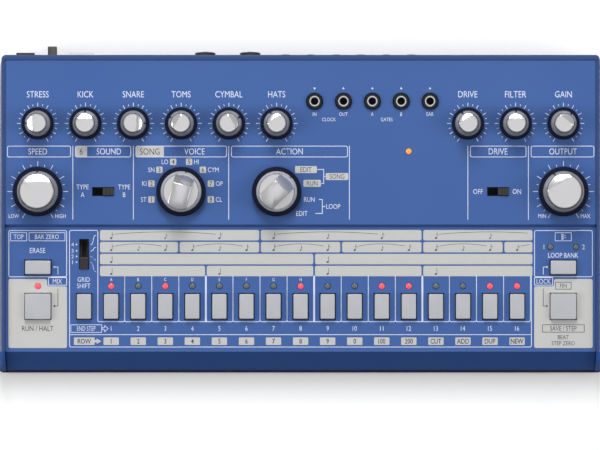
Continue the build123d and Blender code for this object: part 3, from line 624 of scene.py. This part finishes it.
red_lit = lens_finish("red_light_on", paint(240, 80, 90), paint(255, 60, 72), 0.6)
red_unlit = lens_finish("red_light_off", paint(88, 96, 98))
orange_lit = lens_finish("orange_light_on", paint(236, 152, 74), paint(255, 130, 40), 0.5)
lens_radius = 1.45 * mm
lens_depth = 4 * mm
lens_rim = 0.15 * mm
dome_rise = 0.45 * mm
step_pitch = 13.6 * mm
first_step = scale_slide_x + step_pitch
outer_column = 132 * mm
light_row = 116.2 * mm
bank_row = 96.6 * mm
bank_half = 6.45 * mm
status_x = 54.3 * mm
status_d = 48.5 * mm
lit_steps = (1, 3, 8, 11, 12, 15, 16)


def join(form, addition):
    """Add a form to another, and free it."""
    mesh = bpy.data.meshes.new("addition")
    addition.to_mesh(mesh)
    addition.free()
    form.from_mesh(mesh)
    bpy.data.meshes.remove(mesh)


def make_lens(form, x, d, face):
    """Lens with a low dome, from under the panel to just over its face."""
    lens = bmesh.new()
    profile = [(0, -lens_depth), (lens_radius, -lens_depth)]
    lathe(lens, profile + quarter_round(lens_radius, lens_rim, lens_radius, dome_rise), 32)
    lens.transform(on_panel(x, d, face))
    join(form, lens)


on_lenses = bmesh.new()
off_lenses = bmesh.new()
status_lens = bmesh.new()
for step in range(1, 17):
    target = on_lenses if step in lit_steps else off_lenses
    make_lens(target, first_step + (step - 1) * step_pitch, light_row, lower_face)
make_lens(on_lenses, -outer_column, light_row, lower_face)
for side in (-1, 1):
    make_lens(off_lenses, outer_column + side * bank_half, bank_row, lower_face)
make_lens(status_lens, status_x, status_d, upper_face)
in_place = Matrix.Identity(4)
build("red_lights_on", on_lenses, in_place, red_lit, "case", ["red_leds"])
build("red_lights_off", off_lenses, in_place, red_unlit, "case", ["red_leds"])
build("status_light", status_lens, in_place, orange_lit, "case", ["status_led"])


# ---- Jacks on the panel --------------------------------------------------------------------
# Small jacks with bright nickel barrels, each held by a turned black nut with a chamfered rim.
# Columns and profiles, of (radius, height over the panel), are given in millimetres.
def in_mm(*profile):
    """Profile in metres."""
    return [(radius * mm, height * mm) for radius, height in profile]


bright = plain_finish("bright_nickel", paint(214, 214, 216), 0.16, 0.12, 0.6 * mm, metallic=1.0)
nut_black = plain_finish("nut_black", paint(12, 15, 24), 0.3, 0.15, 0.5 * mm, specular=0.3)
nut_profile = in_mm((2.8, 0), (4.3, 0), (4.3, 1.2), (3.75, 1.8), (2.8, 1.8), (2.8, 0))
barrel_profile = in_mm((1.85, -11), (2.75, -11), (2.75, 1.95), (2.5, 2.2), (2.1, 2.2))
barrel_profile += in_mm((1.85, 1.95), (1.85, -11))
floor_profile = in_mm((0, -11.5), (1.9, -11.5), (1.9, -10.9), (0, -10.9))
jack_parts = (
    ("nut", nut_profile, nut_black, "nut_black", "panel_jack_nuts", 64),
    ("barrel", barrel_profile, bright, "jack_nickel", "panel_jacks", 64),
    ("floor", floor_profile, switch_black, "jack_black", "panel_jacks", 32),
)
jack_pitch = 14.5
middle_jack = 36
jack_columns = [middle_jack + jack_pitch * (jack - 2) for jack in range(5)]
jack_row = 23.3 * mm
for number, column in enumerate(jack_columns, start=1):
    place = on_panel(column * mm, jack_row, upper_face)
    for part, profile, finish, slot, node, steps in jack_parts:
        build_turned(f"panel_jack_{part}_{number}", profile, place, finish, "case", [node], steps)

# ---- Rear jacks ----------------------------------------------------------------------------
# Black plastic jacks on the connector board, whose barrels stand out through the rear wall. A
# turned sleeve rounds each barrel's mouth, and a nickel contact lines its bore.
socket_black = Finish("socket_black", paint(26, 26, 28))
socket_black.grain(socket_black.noise(0.5 * mm), 0.38, 0.16, 0.015 * mm, 0.4)
dress(socket_black, "rear_jacks", "main_output_jack")
mounts = {mount["name"]: mount for mount in frame["record"]["mounts"]}
barrel_radii = {f"rear_jack_{number}": 2.7 * mm for number in range(1, 7)}
barrel_radii["main_output"] = 5.5 * mm
overlap = 0.03 * mm
sleeve_reach = 6 * mm
sleeve_edge = 0.3 * mm
contact_set_back = 1.2 * mm
contact_clear = 1 * mm


def facing_rear(x, y, z):
    """Matrix that turns a lathed piece to point out of the rear wall, at a place."""
    return Matrix.Translation((x, y, z)) @ Matrix.Rotation(-pi / 2, 4, "X")


for name, mount in mounts.items():
    if name not in barrel_radii:
        continue
    bore = mount["dims"]["r_mm"] * mm
    depth = mount["dims"]["length_mm"] * mm
    place = facing_rear(*mount["pos_m"])
    outer = barrel_radii[name] + overlap
    inner = bore - overlap
    sleeve = [(inner, -sleeve_reach), (outer, -sleeve_reach), (outer, -sleeve_edge)]
    sleeve += [(outer - sleeve_edge, overlap), (inner + sleeve_edge, overlap), (inner, -sleeve_edge)]
    sleeve += sleeve[:1]
    contact = ring(inner - overlap, bore, contact_clear - depth, -contact_set_back)
    build_turned(name + "_sleeve", sleeve, place, socket_black, "case", steps=64)
    build_turned(name + "_contact", contact, place, bright, "case", steps=48)

# ---- Five-pin sockets ----------------------------------------------------------------------
# Black moulded cores inside a nickel shield. Five sprung contacts sit on an arc around the
# core's middle, with the key slot opposite them, drawn as a thin dark sheet of painted shade.
dress(socket_black, "midi_sockets")
core_depth = 8 * mm
core_radius = 5.2 * mm
core_edge = 0.4 * mm
core_profile = [(0, -core_depth), (core_radius, -core_depth), (core_radius, -core_edge)]
core_profile += [(core_radius - core_edge, overlap), (0, overlap)]
# Painted shade: the key slot is not cut; a thin dark sheet on the core's face stands in for its shaded hollow.
slot_shade_size = (2 * mm, 1.2 * mm, 0.1 * mm)
slot_shade_middle = (0, 0.5 * mm - core_radius, 0)
shield_radius = 7.3 * mm
shield_wall = 0.3 * mm
shield_lip = 3.4 * mm
shield = ring(shield_radius - shield_wall, shield_radius, -core_depth, -shield_lip)
contact_circle = 3.3 * mm
contact_pitch = 45
for number in (1, 2):
    x, _, z = mounts[f"midi_socket_{number}"]["pos_m"]
    place = facing_rear(x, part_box("midi_sockets")[1].y, z)
    build_turned(f"midi_core_{number}", core_profile, place, socket_black, "case", steps=64)
    # Dark sheet of painted shade where the key slot is.
    slot_shade_sheet = bmesh.new()
    block(slot_shade_sheet, slot_shade_size, slot_shade_middle)
    build(f"midi_slot_shade_{number}", slot_shade_sheet, place, switch_black, "case")
    contacts = bmesh.new()
    for step in range(5):
        angle = radians(contact_pitch * step)
        contact = bmesh.new()
        lathe(contact, ring(0.5 * mm, 0.8 * mm, 0, 0.06 * mm), 24)
        spot = (contact_circle * cos(angle), contact_circle * sin(angle), 0)
        bmesh.ops.translate(contact, vec=spot, verts=contact.verts)
        join(contacts, contact)
    build(f"midi_contacts_{number}", contacts, place, bright, "case")
    build_turned(f"midi_shield_{number}", shield, place, bright, "case", steps=64)

# ---- Data socket, power socket and power lever ---------------------------------------------
# A folded tin shell with a black tongue, a black moulded block with a nickel pin, and a plain
# black lever on the power switch.
tin = plain_finish("tinned_steel", paint(188, 188, 190), 0.28, 0.18, 1.5 * mm, metallic=1.0)
dress(tin, "usb_socket")
dress(socket_black, "dc_socket")
tongue_size = (5.7 * mm, 9 * mm, 3.3 * mm)
tongue_set_back = 4.4 * mm
tongue_round = 0.2 * mm
tongue = bmesh.new()
block(tongue, tongue_size)
bevel(tongue, tongue.edges[:], tongue_round)
data_middle = middle_of("usb_socket")
data_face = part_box("usb_socket")[1].y
place = Matrix.Translation((data_middle.x, data_face - tongue_set_back, data_middle.z))
build("data_tongue", tongue, place, socket_black, "case")

power_depth = 9 * mm
pin_radius = 1.08 * mm
pin_set_back = 1.0 * mm
pin = [(0, -power_depth), (pin_radius, -power_depth), (pin_radius, -0.5 * mm)]
pin += [(pin_radius * 0.6, 0), (0, 0.1 * mm)]
collar = ring(3.0 * mm, 3.2 * mm, -power_depth, overlap)
power_middle = middle_of("dc_socket")
power_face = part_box("dc_socket")[1].y
place = facing_rear(power_middle.x, power_face - pin_set_back, power_middle.z)
build_turned("power_pin", pin, place, bright, "case", steps=32)
place = facing_rear(power_middle.x, power_face, power_middle.z)
build_turned("power_collar", collar, place, socket_black, "case", steps=48)

lever_round = 0.35 * mm
lever_low, lever_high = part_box("power_lever")
lever = bmesh.new()
block(lever, lever_high - lever_low)
outer_edges = [edge for edge in lever.edges if max(vert.co.y for vert in edge.verts) > 0]
bevel(lever, outer_edges, lever_round, 3)
place = Matrix.Translation(middle_of("power_lever"))
build("power_lever_cap", lever, place, socket_black, "power_lever", ["power_lever"])


# ---- Print on the panel --------------------------------------------------------------------
# Screen printing straight on the blue plastic: frames, scales and labels in pale ink, and
# fields in a warmer pale ink with dark ink over them. Each shape is a film of ink. Numbers
# are in millimetres, apart from its film. One dark disc is not print but painted shade.
class Ink:
    """Shapes printed in one ink, drawn flat by x and d, then laid on a face of the panel."""

    line = 0.36
    film = 0.06 * mm
    stand_out = 0.02 * mm
    crossing = 0.0003

    def __init__(self):
        self.form = bmesh.new()
        self.top = 0.0

    def add(self, shape, x=0.0, d=0.0, turn=0.0):
        """Print a shape, a shade over those before it, so that crossings share no plane."""
        self.top += self.crossing
        turned = Matrix.Rotation(-radians(turn), 4, "Z")
        shape.transform(Matrix.Translation((x, -d, self.top)) @ turned)
        join(self.form, shape)

    def patch(self, points, corner=0.9, line=None, lowest=None, highest=None, opening=None):
        """Area inside a few points with rounded corners, or its outline, kept between two d's.

        An opening (left, right, top, foot) is left free of ink.
        """
        shape = bmesh.new()
        shape.faces.new([shape.verts.new((x, -d, 0)) for x, d in points])
        if corner:
            bmesh.ops.bevel(
                shape, geom=shape.verts[:], offset=corner, segments=4, profile=0.5,
                affect="VERTICES", material=-1,
            )
        bmesh.ops.recalc_face_normals(shape, faces=shape.faces)
        if line:
            inner = shape.faces[:]
            bmesh.ops.inset_region(
                shape, faces=inner, thickness=line, use_boundary=True, use_even_offset=True
            )
            bmesh.ops.delete(shape, geom=inner, context="FACES")
        if lowest is not None:
            cut(shape, (0, -lowest, 0), (0, 1, 0))
        if highest is not None:
            cut(shape, (0, -highest, 0), (0, -1, 0))
        if opening:
            left, right, top, foot = opening
            for x in (left, right):
                cut(shape, (x, 0, 0), (1, 0, 0), drop=False)
            for d in (top, foot):
                cut(shape, (0, -d, 0), (0, 1, 0), drop=False)
            middles = {face: face.calc_center_median() for face in shape.faces}
            bare = [face for face, at in middles.items() if left < at.x < right and top < -at.y < foot]
            bmesh.ops.delete(shape, geom=bare, context="FACES")
        self.add(shape)

    def field(self, left, right, top, foot, corner=0.9):
        """Filled area."""
        self.patch([(left, top), (left, foot), (right, foot), (right, top)], corner)

    def frame(self, left, right, top, foot, corner=1.0, line=line, lowest=None, highest=None):
        """Outline of an area."""
        points = [(left, top), (left, foot), (right, foot), (right, top)]
        self.patch(points, corner, line, lowest, highest)

    def rule(self, start, end, width=line):
        """Straight line between two places."""
        run = Vector(end) - Vector(start)
        middle = (Vector(end) + Vector(start)) / 2
        shape = bmesh.new()
        bmesh.ops.create_grid(shape, x_segments=1, y_segments=1, size=0.5)
        bmesh.ops.scale(shape, vec=(run.length, width, 1), verts=shape.verts)
        self.add(shape, middle.x, middle.y, degrees(atan2(run.y, run.x)))

    def stroke(self, points, shift):
        """Ribbon between a line of places and the same line shifted."""
        shape = bmesh.new()
        verts = [shape.verts.new((x, -d, 0)) for x, d in points]
        edges = [shape.edges.new(pair) for pair in zip(verts, verts[1:])]
        ribbon = bmesh.ops.extrude_edge_only(shape, edges=edges)
        bmesh.ops.translate(shape, verts=moved_verts(ribbon), vec=(shift[0], -shift[1], 0))
        self.add(shape)

    def dot(self, x, d, radius, sides=20, stretch=1.0, turn=0.0):
        """Filled circle, or with few sides a triangle."""
        shape = bmesh.new()
        bmesh.ops.create_circle(shape, cap_ends=True, segments=sides, radius=radius)
        bmesh.ops.scale(shape, vec=(stretch, 1, 1), verts=shape.verts)
        self.add(shape, x, d, turn)

    def word(self, text, x, d, height, anchor=0.5, narrow=0.8, weight=0.0):
        """Word in the built-in face, with x at its middle, its start (0) or its end (1)."""
        lettering = bpy.data.curves.new("word", "FONT")
        lettering.body = text
        lettering.resolution_u = 3
        lettering.offset = weight
        holder = bpy.data.objects.new("word", lettering)
        mesh = bpy.data.meshes.new_from_object(holder)
        bpy.data.objects.remove(holder)
        bpy.data.curves.remove(lettering)
        low = Vector(min(vert.co[axis] for vert in mesh.vertices) for axis in range(3))
        high = Vector(max(vert.co[axis] for vert in mesh.vertices) for axis in range(3))
        growth = height / (high.y - low.y)
        origin = Vector((low.x + (high.x - low.x) * anchor, (low.y + high.y) / 2, 0))
        shape = bmesh.new()
        shape.from_mesh(mesh)
        bpy.data.meshes.remove(mesh)
        bmesh.ops.translate(shape, vec=-origin, verts=shape.verts)
        bmesh.ops.scale(shape, vec=(growth * narrow, growth, 1), verts=shape.verts)
        self.add(shape, x, d)

    def lay(self, name, level, finish, slot):
        """Give the shapes their thickness and put them on a face of the panel."""
        self.form.transform(Matrix.Scale(mm, 4))
        film = bmesh.ops.extrude_face_region(self.form, geom=self.form.faces[:])
        bmesh.ops.translate(self.form, verts=moved_verts(film), vec=(0, 0, -self.film))
        bmesh.ops.recalc_face_normals(self.form, faces=self.form.faces)
        self.form.transform(on_panel(0, 0, level + self.stand_out))
        show(name, self.form, finish, "case")


def ink_finish(name, colour):
    """Ink with a faint unevenness in tone and gloss."""
    ink = Finish(name)
    unevenness = ink.noise(4 * mm, seed=8.0)
    darker = (*(part * 0.95 for part in colour[:3]), 1)
    ink.feed("Base Color", ink.blend(unevenness, darker, colour))
    ink.gloss(0.42, 0.16, unevenness)
    return ink


pale_ink = ink_finish("pale_ink", paint(204, 213, 234))
field_ink = ink_finish("field_ink", paint(188, 188, 186))
# Dark ink, also used for one disc of painted shade around a light.
dark_ink = ink_finish("dark_ink", paint(46, 51, 72))


def chip(word, left, right, top, foot, corner, height, weight=0.0):
    """Word in dark ink on a small field."""
    fields.field(left, right, top, foot, corner)
    dark.word(word, (left + right) / 2, (top + foot) / 2, height, weight=weight)


def lay_inks(part, face):
    """Lay what is printed on a face of the panel, and the dark ink, with its disc of painted shade, over the
    fields.
    """
    pale.lay(part + "_lines", face, pale_ink, "print_light")
    fields.lay(part + "_fields", face, field_ink, "print_light")
    dark.lay(part + "_dark_words", face + Ink.stand_out, dark_ink, "print_dark")


# Upper panel: labels and scales of the knobs, and labels of the jacks.
pale, fields, dark = Ink(), Ink(), Ink()
label_height = 3.2
small_height = 2.4
tiny_height = 1.8
label_d = 19.85
small_row = 34.5
upper_row = large_row / mm
scale_end = 150
scale_step = 15
tick_width = 0.35
small_ticks = ((8.53, 10.44), (9.04, 9.84))
large_ticks = ((12.8, 15.3), (12.95, 13.9))


def column_of(node):
    """Column of a knob."""
    return joints[node]["pos_m"][0] / mm


def scale_ticks(node, row, long_tick, short_tick):
    """Ticks around a knob: a long one every 30 degrees and a short one between."""
    centre = Vector((column_of(node), row))
    for angle in range(-scale_end, scale_end + 1, scale_step):
        start, end = short_tick if angle % (2 * scale_step) else long_tick
        ray = Vector((sin(radians(angle)), -cos(radians(angle))))
        pale.rule(centre + ray * start, centre + ray * end, tick_width)


for node in small_turns:
    pale.word(node.removesuffix("_knob").upper(), column_of(node), label_d, label_height)
    scale_ticks(node, small_row, *small_ticks)
for node in large_turns:
    scale_ticks(node, upper_row, *large_ticks)

jack_names = {"IN": 180, "OUT": 0, "A": 0, "B": 0, "EAR": 0}
mark_d = 16.9
for column, (name, turn) in zip(jack_columns, jack_names.items()):
    pale.dot(column, mark_d, 0.8, sides=3, stretch=0.9, turn=turn)
    pale.word(name, column, 29.8, tiny_height)
for group, first in (("CLOCK", 0), ("GATES", 2)):
    pale.word(group, (jack_columns[first] + jack_columns[first + 1]) / 2, 32.5, tiny_height)

# Upper panel: the row of headers, with dividers under it.
header_top = 45.7
header_foot = 51.5
header_middle = (header_top + header_foot) / 2
divider_foot = 82.8
frames = ((-147.4, -115.3), (-113.3, -85.1), (-82.9, -37.0), (-34.9, 23.7), (85.1, 113.4), (115.6, 147.5))
for left, right in frames:
    pale.frame(left, right, header_top, header_foot)
for column in (-114.4, -84.0, -36.1, 24.5, 84.0, 114.4):
    pale.rule((column, header_top), (column, divider_foot))
headers = {"SPEED": -132.0, "SOUND": -96.3, "VOICE": -53.3, "ACTION": -5.6, "DRIVE": 99.2, "OUTPUT": 131.8}
for word, middle in headers.items():
    pale.word(word, middle, header_middle, label_height, weight=0.008)
for word, left, right in (("6", -113.2, -107.2), ("SONG", -82.8, -68.7)):
    chip(word, left, right, header_top + 0.1, header_foot - 0.1, 0.8, label_height)

# Upper panel: the places of the selectors, and the words beside the other controls.
voice_middle = Vector((column_of("voice_selector"), upper_row))
voice_radius = 15.45
first_voice = -105
voice_step = 30
voice_half = 1.6
voice_gap = 0.9
voices_left = ("ST", "KI", "SN", "LO")
voices_right = ("HI", "CYM", "OP", "CL")
for voice, name in enumerate(voices_left + voices_right):
    angle = radians(first_voice + voice_step * voice)
    x, d = voice_middle + Vector((sin(angle), -cos(angle))) * voice_radius
    left, right = x - voice_half, x + voice_half
    chip(str(voice + 1), left, right, d - voice_half, d + voice_half, 0.5, small_height, 0.008)
    if name in voices_left:
        pale.word(name, left - voice_gap, d, small_height, anchor=1)
    else:
        pale.word(name, right + voice_gap, d, small_height, anchor=0)

action_chips = (("EDIT", -2.8, 8.2, 55.9), ("RUN", 1.4, 10.2, 62.8), ("SONG", 12.6, 24.0, 59.4))
for word, left, right, top in action_chips:
    chip(word, left, right, top, top + 3.5, 0.6, small_height)
for word, start, d in (("RUN", 1.7, 72.7), ("EDIT", -2.2, 79.7), ("LOOP", 12.9, 76.2)):
    pale.word(word, start, d, small_height, anchor=0)
brackets = ((11.6, 57.6, 64.6, 8.4, 10.4), (10.9, 72.7, 79.7, 9.2, 7.4))
bracket_end = 12.5
for bracket, upper, lower, upper_start, lower_start in brackets:
    corner = bracket + 0.2
    pale.rule((upper_start, upper), (corner, upper))
    pale.rule((lower_start, lower), (corner, lower))
    pale.rule((bracket, upper + 0.2), (bracket, lower - 0.2))
    pale.rule((corner, (upper + lower) / 2), (bracket_end, (upper + lower) / 2))

for word, middle in {"LOW": -144.0, "HIGH": -120.6, "MIN": 121.3, "MAX": 143.1}.items():
    pale.word(word, middle, 81.0, 2.0)
for word, middle in {"OFF": 89.1, "ON": 108.6}.items():
    pale.word(word, middle, upper_row, 2.5)
for letter, middle in {"A": -109.5, "B": -88.6}.items():
    pale.word("TYPE", middle, 66.4, small_height)
    pale.word(letter, middle, 70.3, small_height)
lay_inks("upper", upper_face)

# Lower panel: the rhythm rows over the steps.
pale, fields, dark = Ink(), Ink(), Ink()
cell = step_pitch / mm
shift_x = first_step / mm - cell
row_height = 5.25
row_pitch = 6.0
first_row = 88.0
rows_left = -100.8
rows_right = 116.5
row_gap = 0.45
row_breaks = ((6, 12), (3, 6, 9, 12, 15), (8,), (4, 8, 12))
head_drop = 4.1
head_radius = 0.42
head_stretch = 1.45
head_turn = -20
stem_height = 2.9
stem_width = 0.22
stem_aside = 0.5
flag_width = 0.3
flag_bend = [(0, 0), (0.25, 0.75), (0.85, 1.2), (0.9, 1.9)]
slur_drop = 2.0
slur_inset = 1.8
slur_rise = 1.15
slur_width = 0.22
slur_end = rows_right - 1.19
slur_steps = 16


def over_step(step):
    """Column of a step, or with a half of the line between two steps."""
    return shift_x + cell * step


for row, breaks in enumerate(row_breaks):
    top = first_row + row * row_pitch
    edges = [rows_left - row_gap, *(over_step(step + 0.5) for step in breaks), rows_right + row_gap]
    for left, right in zip(edges, edges[1:]):
        fields.field(left + row_gap, right - row_gap, top, top + row_height)


def note(step, row, size=1.0, flag=True):
    """Note over a step, with its head low in the row."""
    head_x = over_step(step)
    head_d = first_row + row * row_pitch + head_drop
    stem_x = head_x + stem_aside * size
    stem_top = head_d - stem_height * size
    dark.dot(head_x, head_d, head_radius * size, stretch=head_stretch, turn=head_turn)
    dark.rule((stem_x, head_d - 0.1), (stem_x, stem_top), stem_width)
    if flag:
        flag_line = [(stem_x + x * size, stem_top + d * size) for x, d in flag_bend]
        dark.stroke(flag_line, (0, flag_width * size))


def slur(start, end, row):
    """Bow from one note to another, or off the end of the row."""
    left = over_step(start) + slur_inset
    run = over_step(end) - slur_inset - left
    top = first_row + row * row_pitch + slur_drop
    bow = []
    for step in range(slur_steps + 1):
        share = step / slur_steps
        if left + run * share <= slur_end:
            bow.append((left + run * share, top - 4 * slur_rise * share * (1 - share)))
    dark.stroke(bow, (0, slur_width))


for start in (1, 7, 13):
    note(start, 0)
    note(start + 2, 0, size=0.8)
    if start + 4 <= 16:
        note(start + 4, 0)
    slur(start, start + 4, 0)
for start in (1, 4, 7, 10, 13):
    note(start, 1)
    note(start + 1, 1, size=0.75)
    note(start + 2, 1)
    slur(start, start + 2, 1)
note(16, 1)
slur(16, 18, 1)
for row, steps in ((2, (1, 9)), (3, (1, 5, 9, 13))):
    for step in steps:
        note(step, row, flag=False)

# Lower panel: the shift column, a cell for each step, and the numbers below.
cells_top = 110.9
cells_foot = 134.3
shift_left = -116.3
outer_right = 116.2
cell_left = -101.9
cell_right = 115.5
strip_top = 140.6
strip_foot = 147.0
join_d = 133.0
cut_away = 3
half_line = Ink.line / 2
inner_right = outer_right - half_line
pale.frame(shift_left, cell_left + half_line, first_row, cells_foot, highest=join_d)
pale.frame(shift_left, outer_right, first_row, strip_foot, lowest=join_d)
pale.rule((inner_right, cells_top), (inner_right, join_d))
pale.rule((shift_left + half_line, strip_top), (inner_right, strip_top))
cell_edges = [cell_left, *(over_step(step + 0.5) for step in range(1, 16)), cell_right]
for left, right in zip(cell_edges, cell_edges[1:]):
    frame_top = cells_top - cut_away
    pale.frame(left - half_line, right + half_line, frame_top, cells_foot, lowest=cells_top)
for column in (over_step(4.5), over_step(8.5), over_step(12.5)):
    pale.rule((column, cells_top), (column, cells_foot), 0.9)
for step, letter in enumerate("ABCDEFGH", start=1):
    pale.word(letter, over_step(step), 112.9, 1.6)
step_words = ("1", "2", "3", "4", "5", "6", "7", "8", "9", "0", "100", "200", "CUT", "ADD", "DUP", "NEW")
chip_top = 142.0
chip_foot = 145.8
chip_middle = (chip_top + chip_foot) / 2
chip_half = 3.85
for step, word in enumerate(step_words, start=1):
    middle = over_step(step)
    pale.word(str(step), middle, 137.5, small_height)
    chip(word, middle - chip_half, middle + chip_half, chip_top, chip_foot, 0.4, 2.5, 0.012)

slot_positions = {4: (95.3, 90.6), 3: (98.5, 96.7), 2: (101.3, 102.9), 1: (104.2, 108.8)}
for number, (start, end) in slot_positions.items():
    pale.word(str(number), -114.6, start, 1.9, narrow=1.0)
    pale.dot(-112.6, start, 0.4)
    leader = [(-105.7, start), (-105.2, start), (-104.5, start + (end - start) * 0.3)]
    leader += [(-104.0, start + (end - start) * 0.85), (-103.5, end), (-102.9, end)]
    pale.stroke(leader, (0.25, 0.25))
pale.word("GRID", -109.0, 112.9, small_height)
pale.word("SHIFT", -109.0, 116.1, small_height)
pale.frame(-115.6, -99.8, 135.5, 139.6, 0.3, 0.3)
pale.word("END STEP", -107.7, 137.55, 2.3, narrow=0.66)
arrow = [(-99.5, 136.8), (-98.6, 136.8), (-98.6, 135.7), (-96.5, 137.55)]
arrow += [(-98.6, 139.4), (-98.6, 138.3), (-99.5, 138.3)]
pale.patch(arrow, 0, 0.28)
chip("ROW", -113.9, -103.5, chip_top, chip_foot, 0.2, 2.5, 0.012)
fields.field(-103.5, -102.3, chip_middle - 0.6, chip_middle + 0.6, 0)
fields.dot(-101.7, chip_middle, 1.6, sides=3, turn=90)

# Lower panel: the areas at both ends, mirror images in their frames and leaders.
area_top = 88.1
area_foot = 111.7
tag_foot = 115.9
key_area_top = 112.6
key_area_foot = 147.3
far = 146.8
near = 117.4
tag_end = 126.9
key_room = 6.85
leader_x = 121.95
leader_dot = 123.75
for side in (-1, 1):
    pale.frame(*sorted((side * near, side * far)), area_top, area_foot)
    pale.frame(*sorted((side * near, side * tag_end)), area_foot, tag_foot, 0.3)
    corner = side * (tag_end + 0.5)
    outline = [(side * far, key_area_top), (corner, key_area_top), (corner, tag_foot + 0.4)]
    outline += [(side * near, tag_foot + 0.4), (side * near, key_area_foot), (side * far, key_area_foot)]
    key_x = side * outer_column / mm
    room = (key_x - key_room, key_x + key_room, key_row - key_room, key_row + key_room)
    fields.patch(outline, opening=room)
    for ink, dot_d, top, foot in ((pale, 106.6, 106.45, 110.4), (dark, 126.2, 117.4, 126.35)):
        ink.dot(side * leader_dot, dot_d, 0.45)
        ink.rule((side * leader_dot, dot_d), (side * (leader_x - half_line), dot_d), 0.3)
        ink.rule((side * leader_x, top), (side * leader_x, foot), 0.3)
# Painted shade: a dark disc under the left end light, whose rim around the lens stands for the shaded gap of the
# light's hole in the field.
dark.dot(-outer_column / mm, light_row / mm, 1.65, sides=48)

tag_frames = {
    pale: ((-145.9, -137.5, 89.2, 93.6), (-136.6, -118.3, 89.2, 93.6), (127.8, 136.2, 89.2, 93.6)),
    dark: ((128.0, 136.1, 114.1, 117.9), (121.4, 142.7, 135.5, 139.5)),
}
for ink, boxes in tag_frames.items():
    for box in boxes:
        ink.frame(*box, 0.2, 0.3)
end_words = {
    pale: (
        ("TOP", -141.7, 91.4, 2.3),
        ("BAR ZERO", -127.5, 91.4, 2.3),
        ("ERASE", -132.2, 98.3, 2.6),
        ("MIX", -122.2, 113.8, 2.4),
        ("1", 122.3, 96.5, 2.4),
        ("2", 142.2, 96.5, 2.4),
        ("LOOP BANK", 132.0, 100.7, 2.4),
        ("LOCK", 122.15, 113.8, 2.4),
    ),
    dark: (
        ("RUN / HALT", -132.1, 137.5, 2.6),
        ("FIN", 132.05, 116.0, 2.1),
        ("SAVE / STEP", 132.05, 137.5, 2.3),
        ("BEAT", 132.0, 141.9, 2.1),
        ("STEP ZERO", 132.0, 144.9, 2.1),
    ),
}
for ink, words in end_words.items():
    for word in words:
        ink.word(*word)
repeat_x = 132.0
for shift, width in ((-0.6, 0.5), (0.1, 0.2)):
    pale.rule((repeat_x + shift, 89.9), (repeat_x + shift, 92.9), width)
for dot_d in (90.9, 91.9):
    pale.dot(repeat_x + 0.9, dot_d, 0.25)
lay_inks("lower", lower_face)
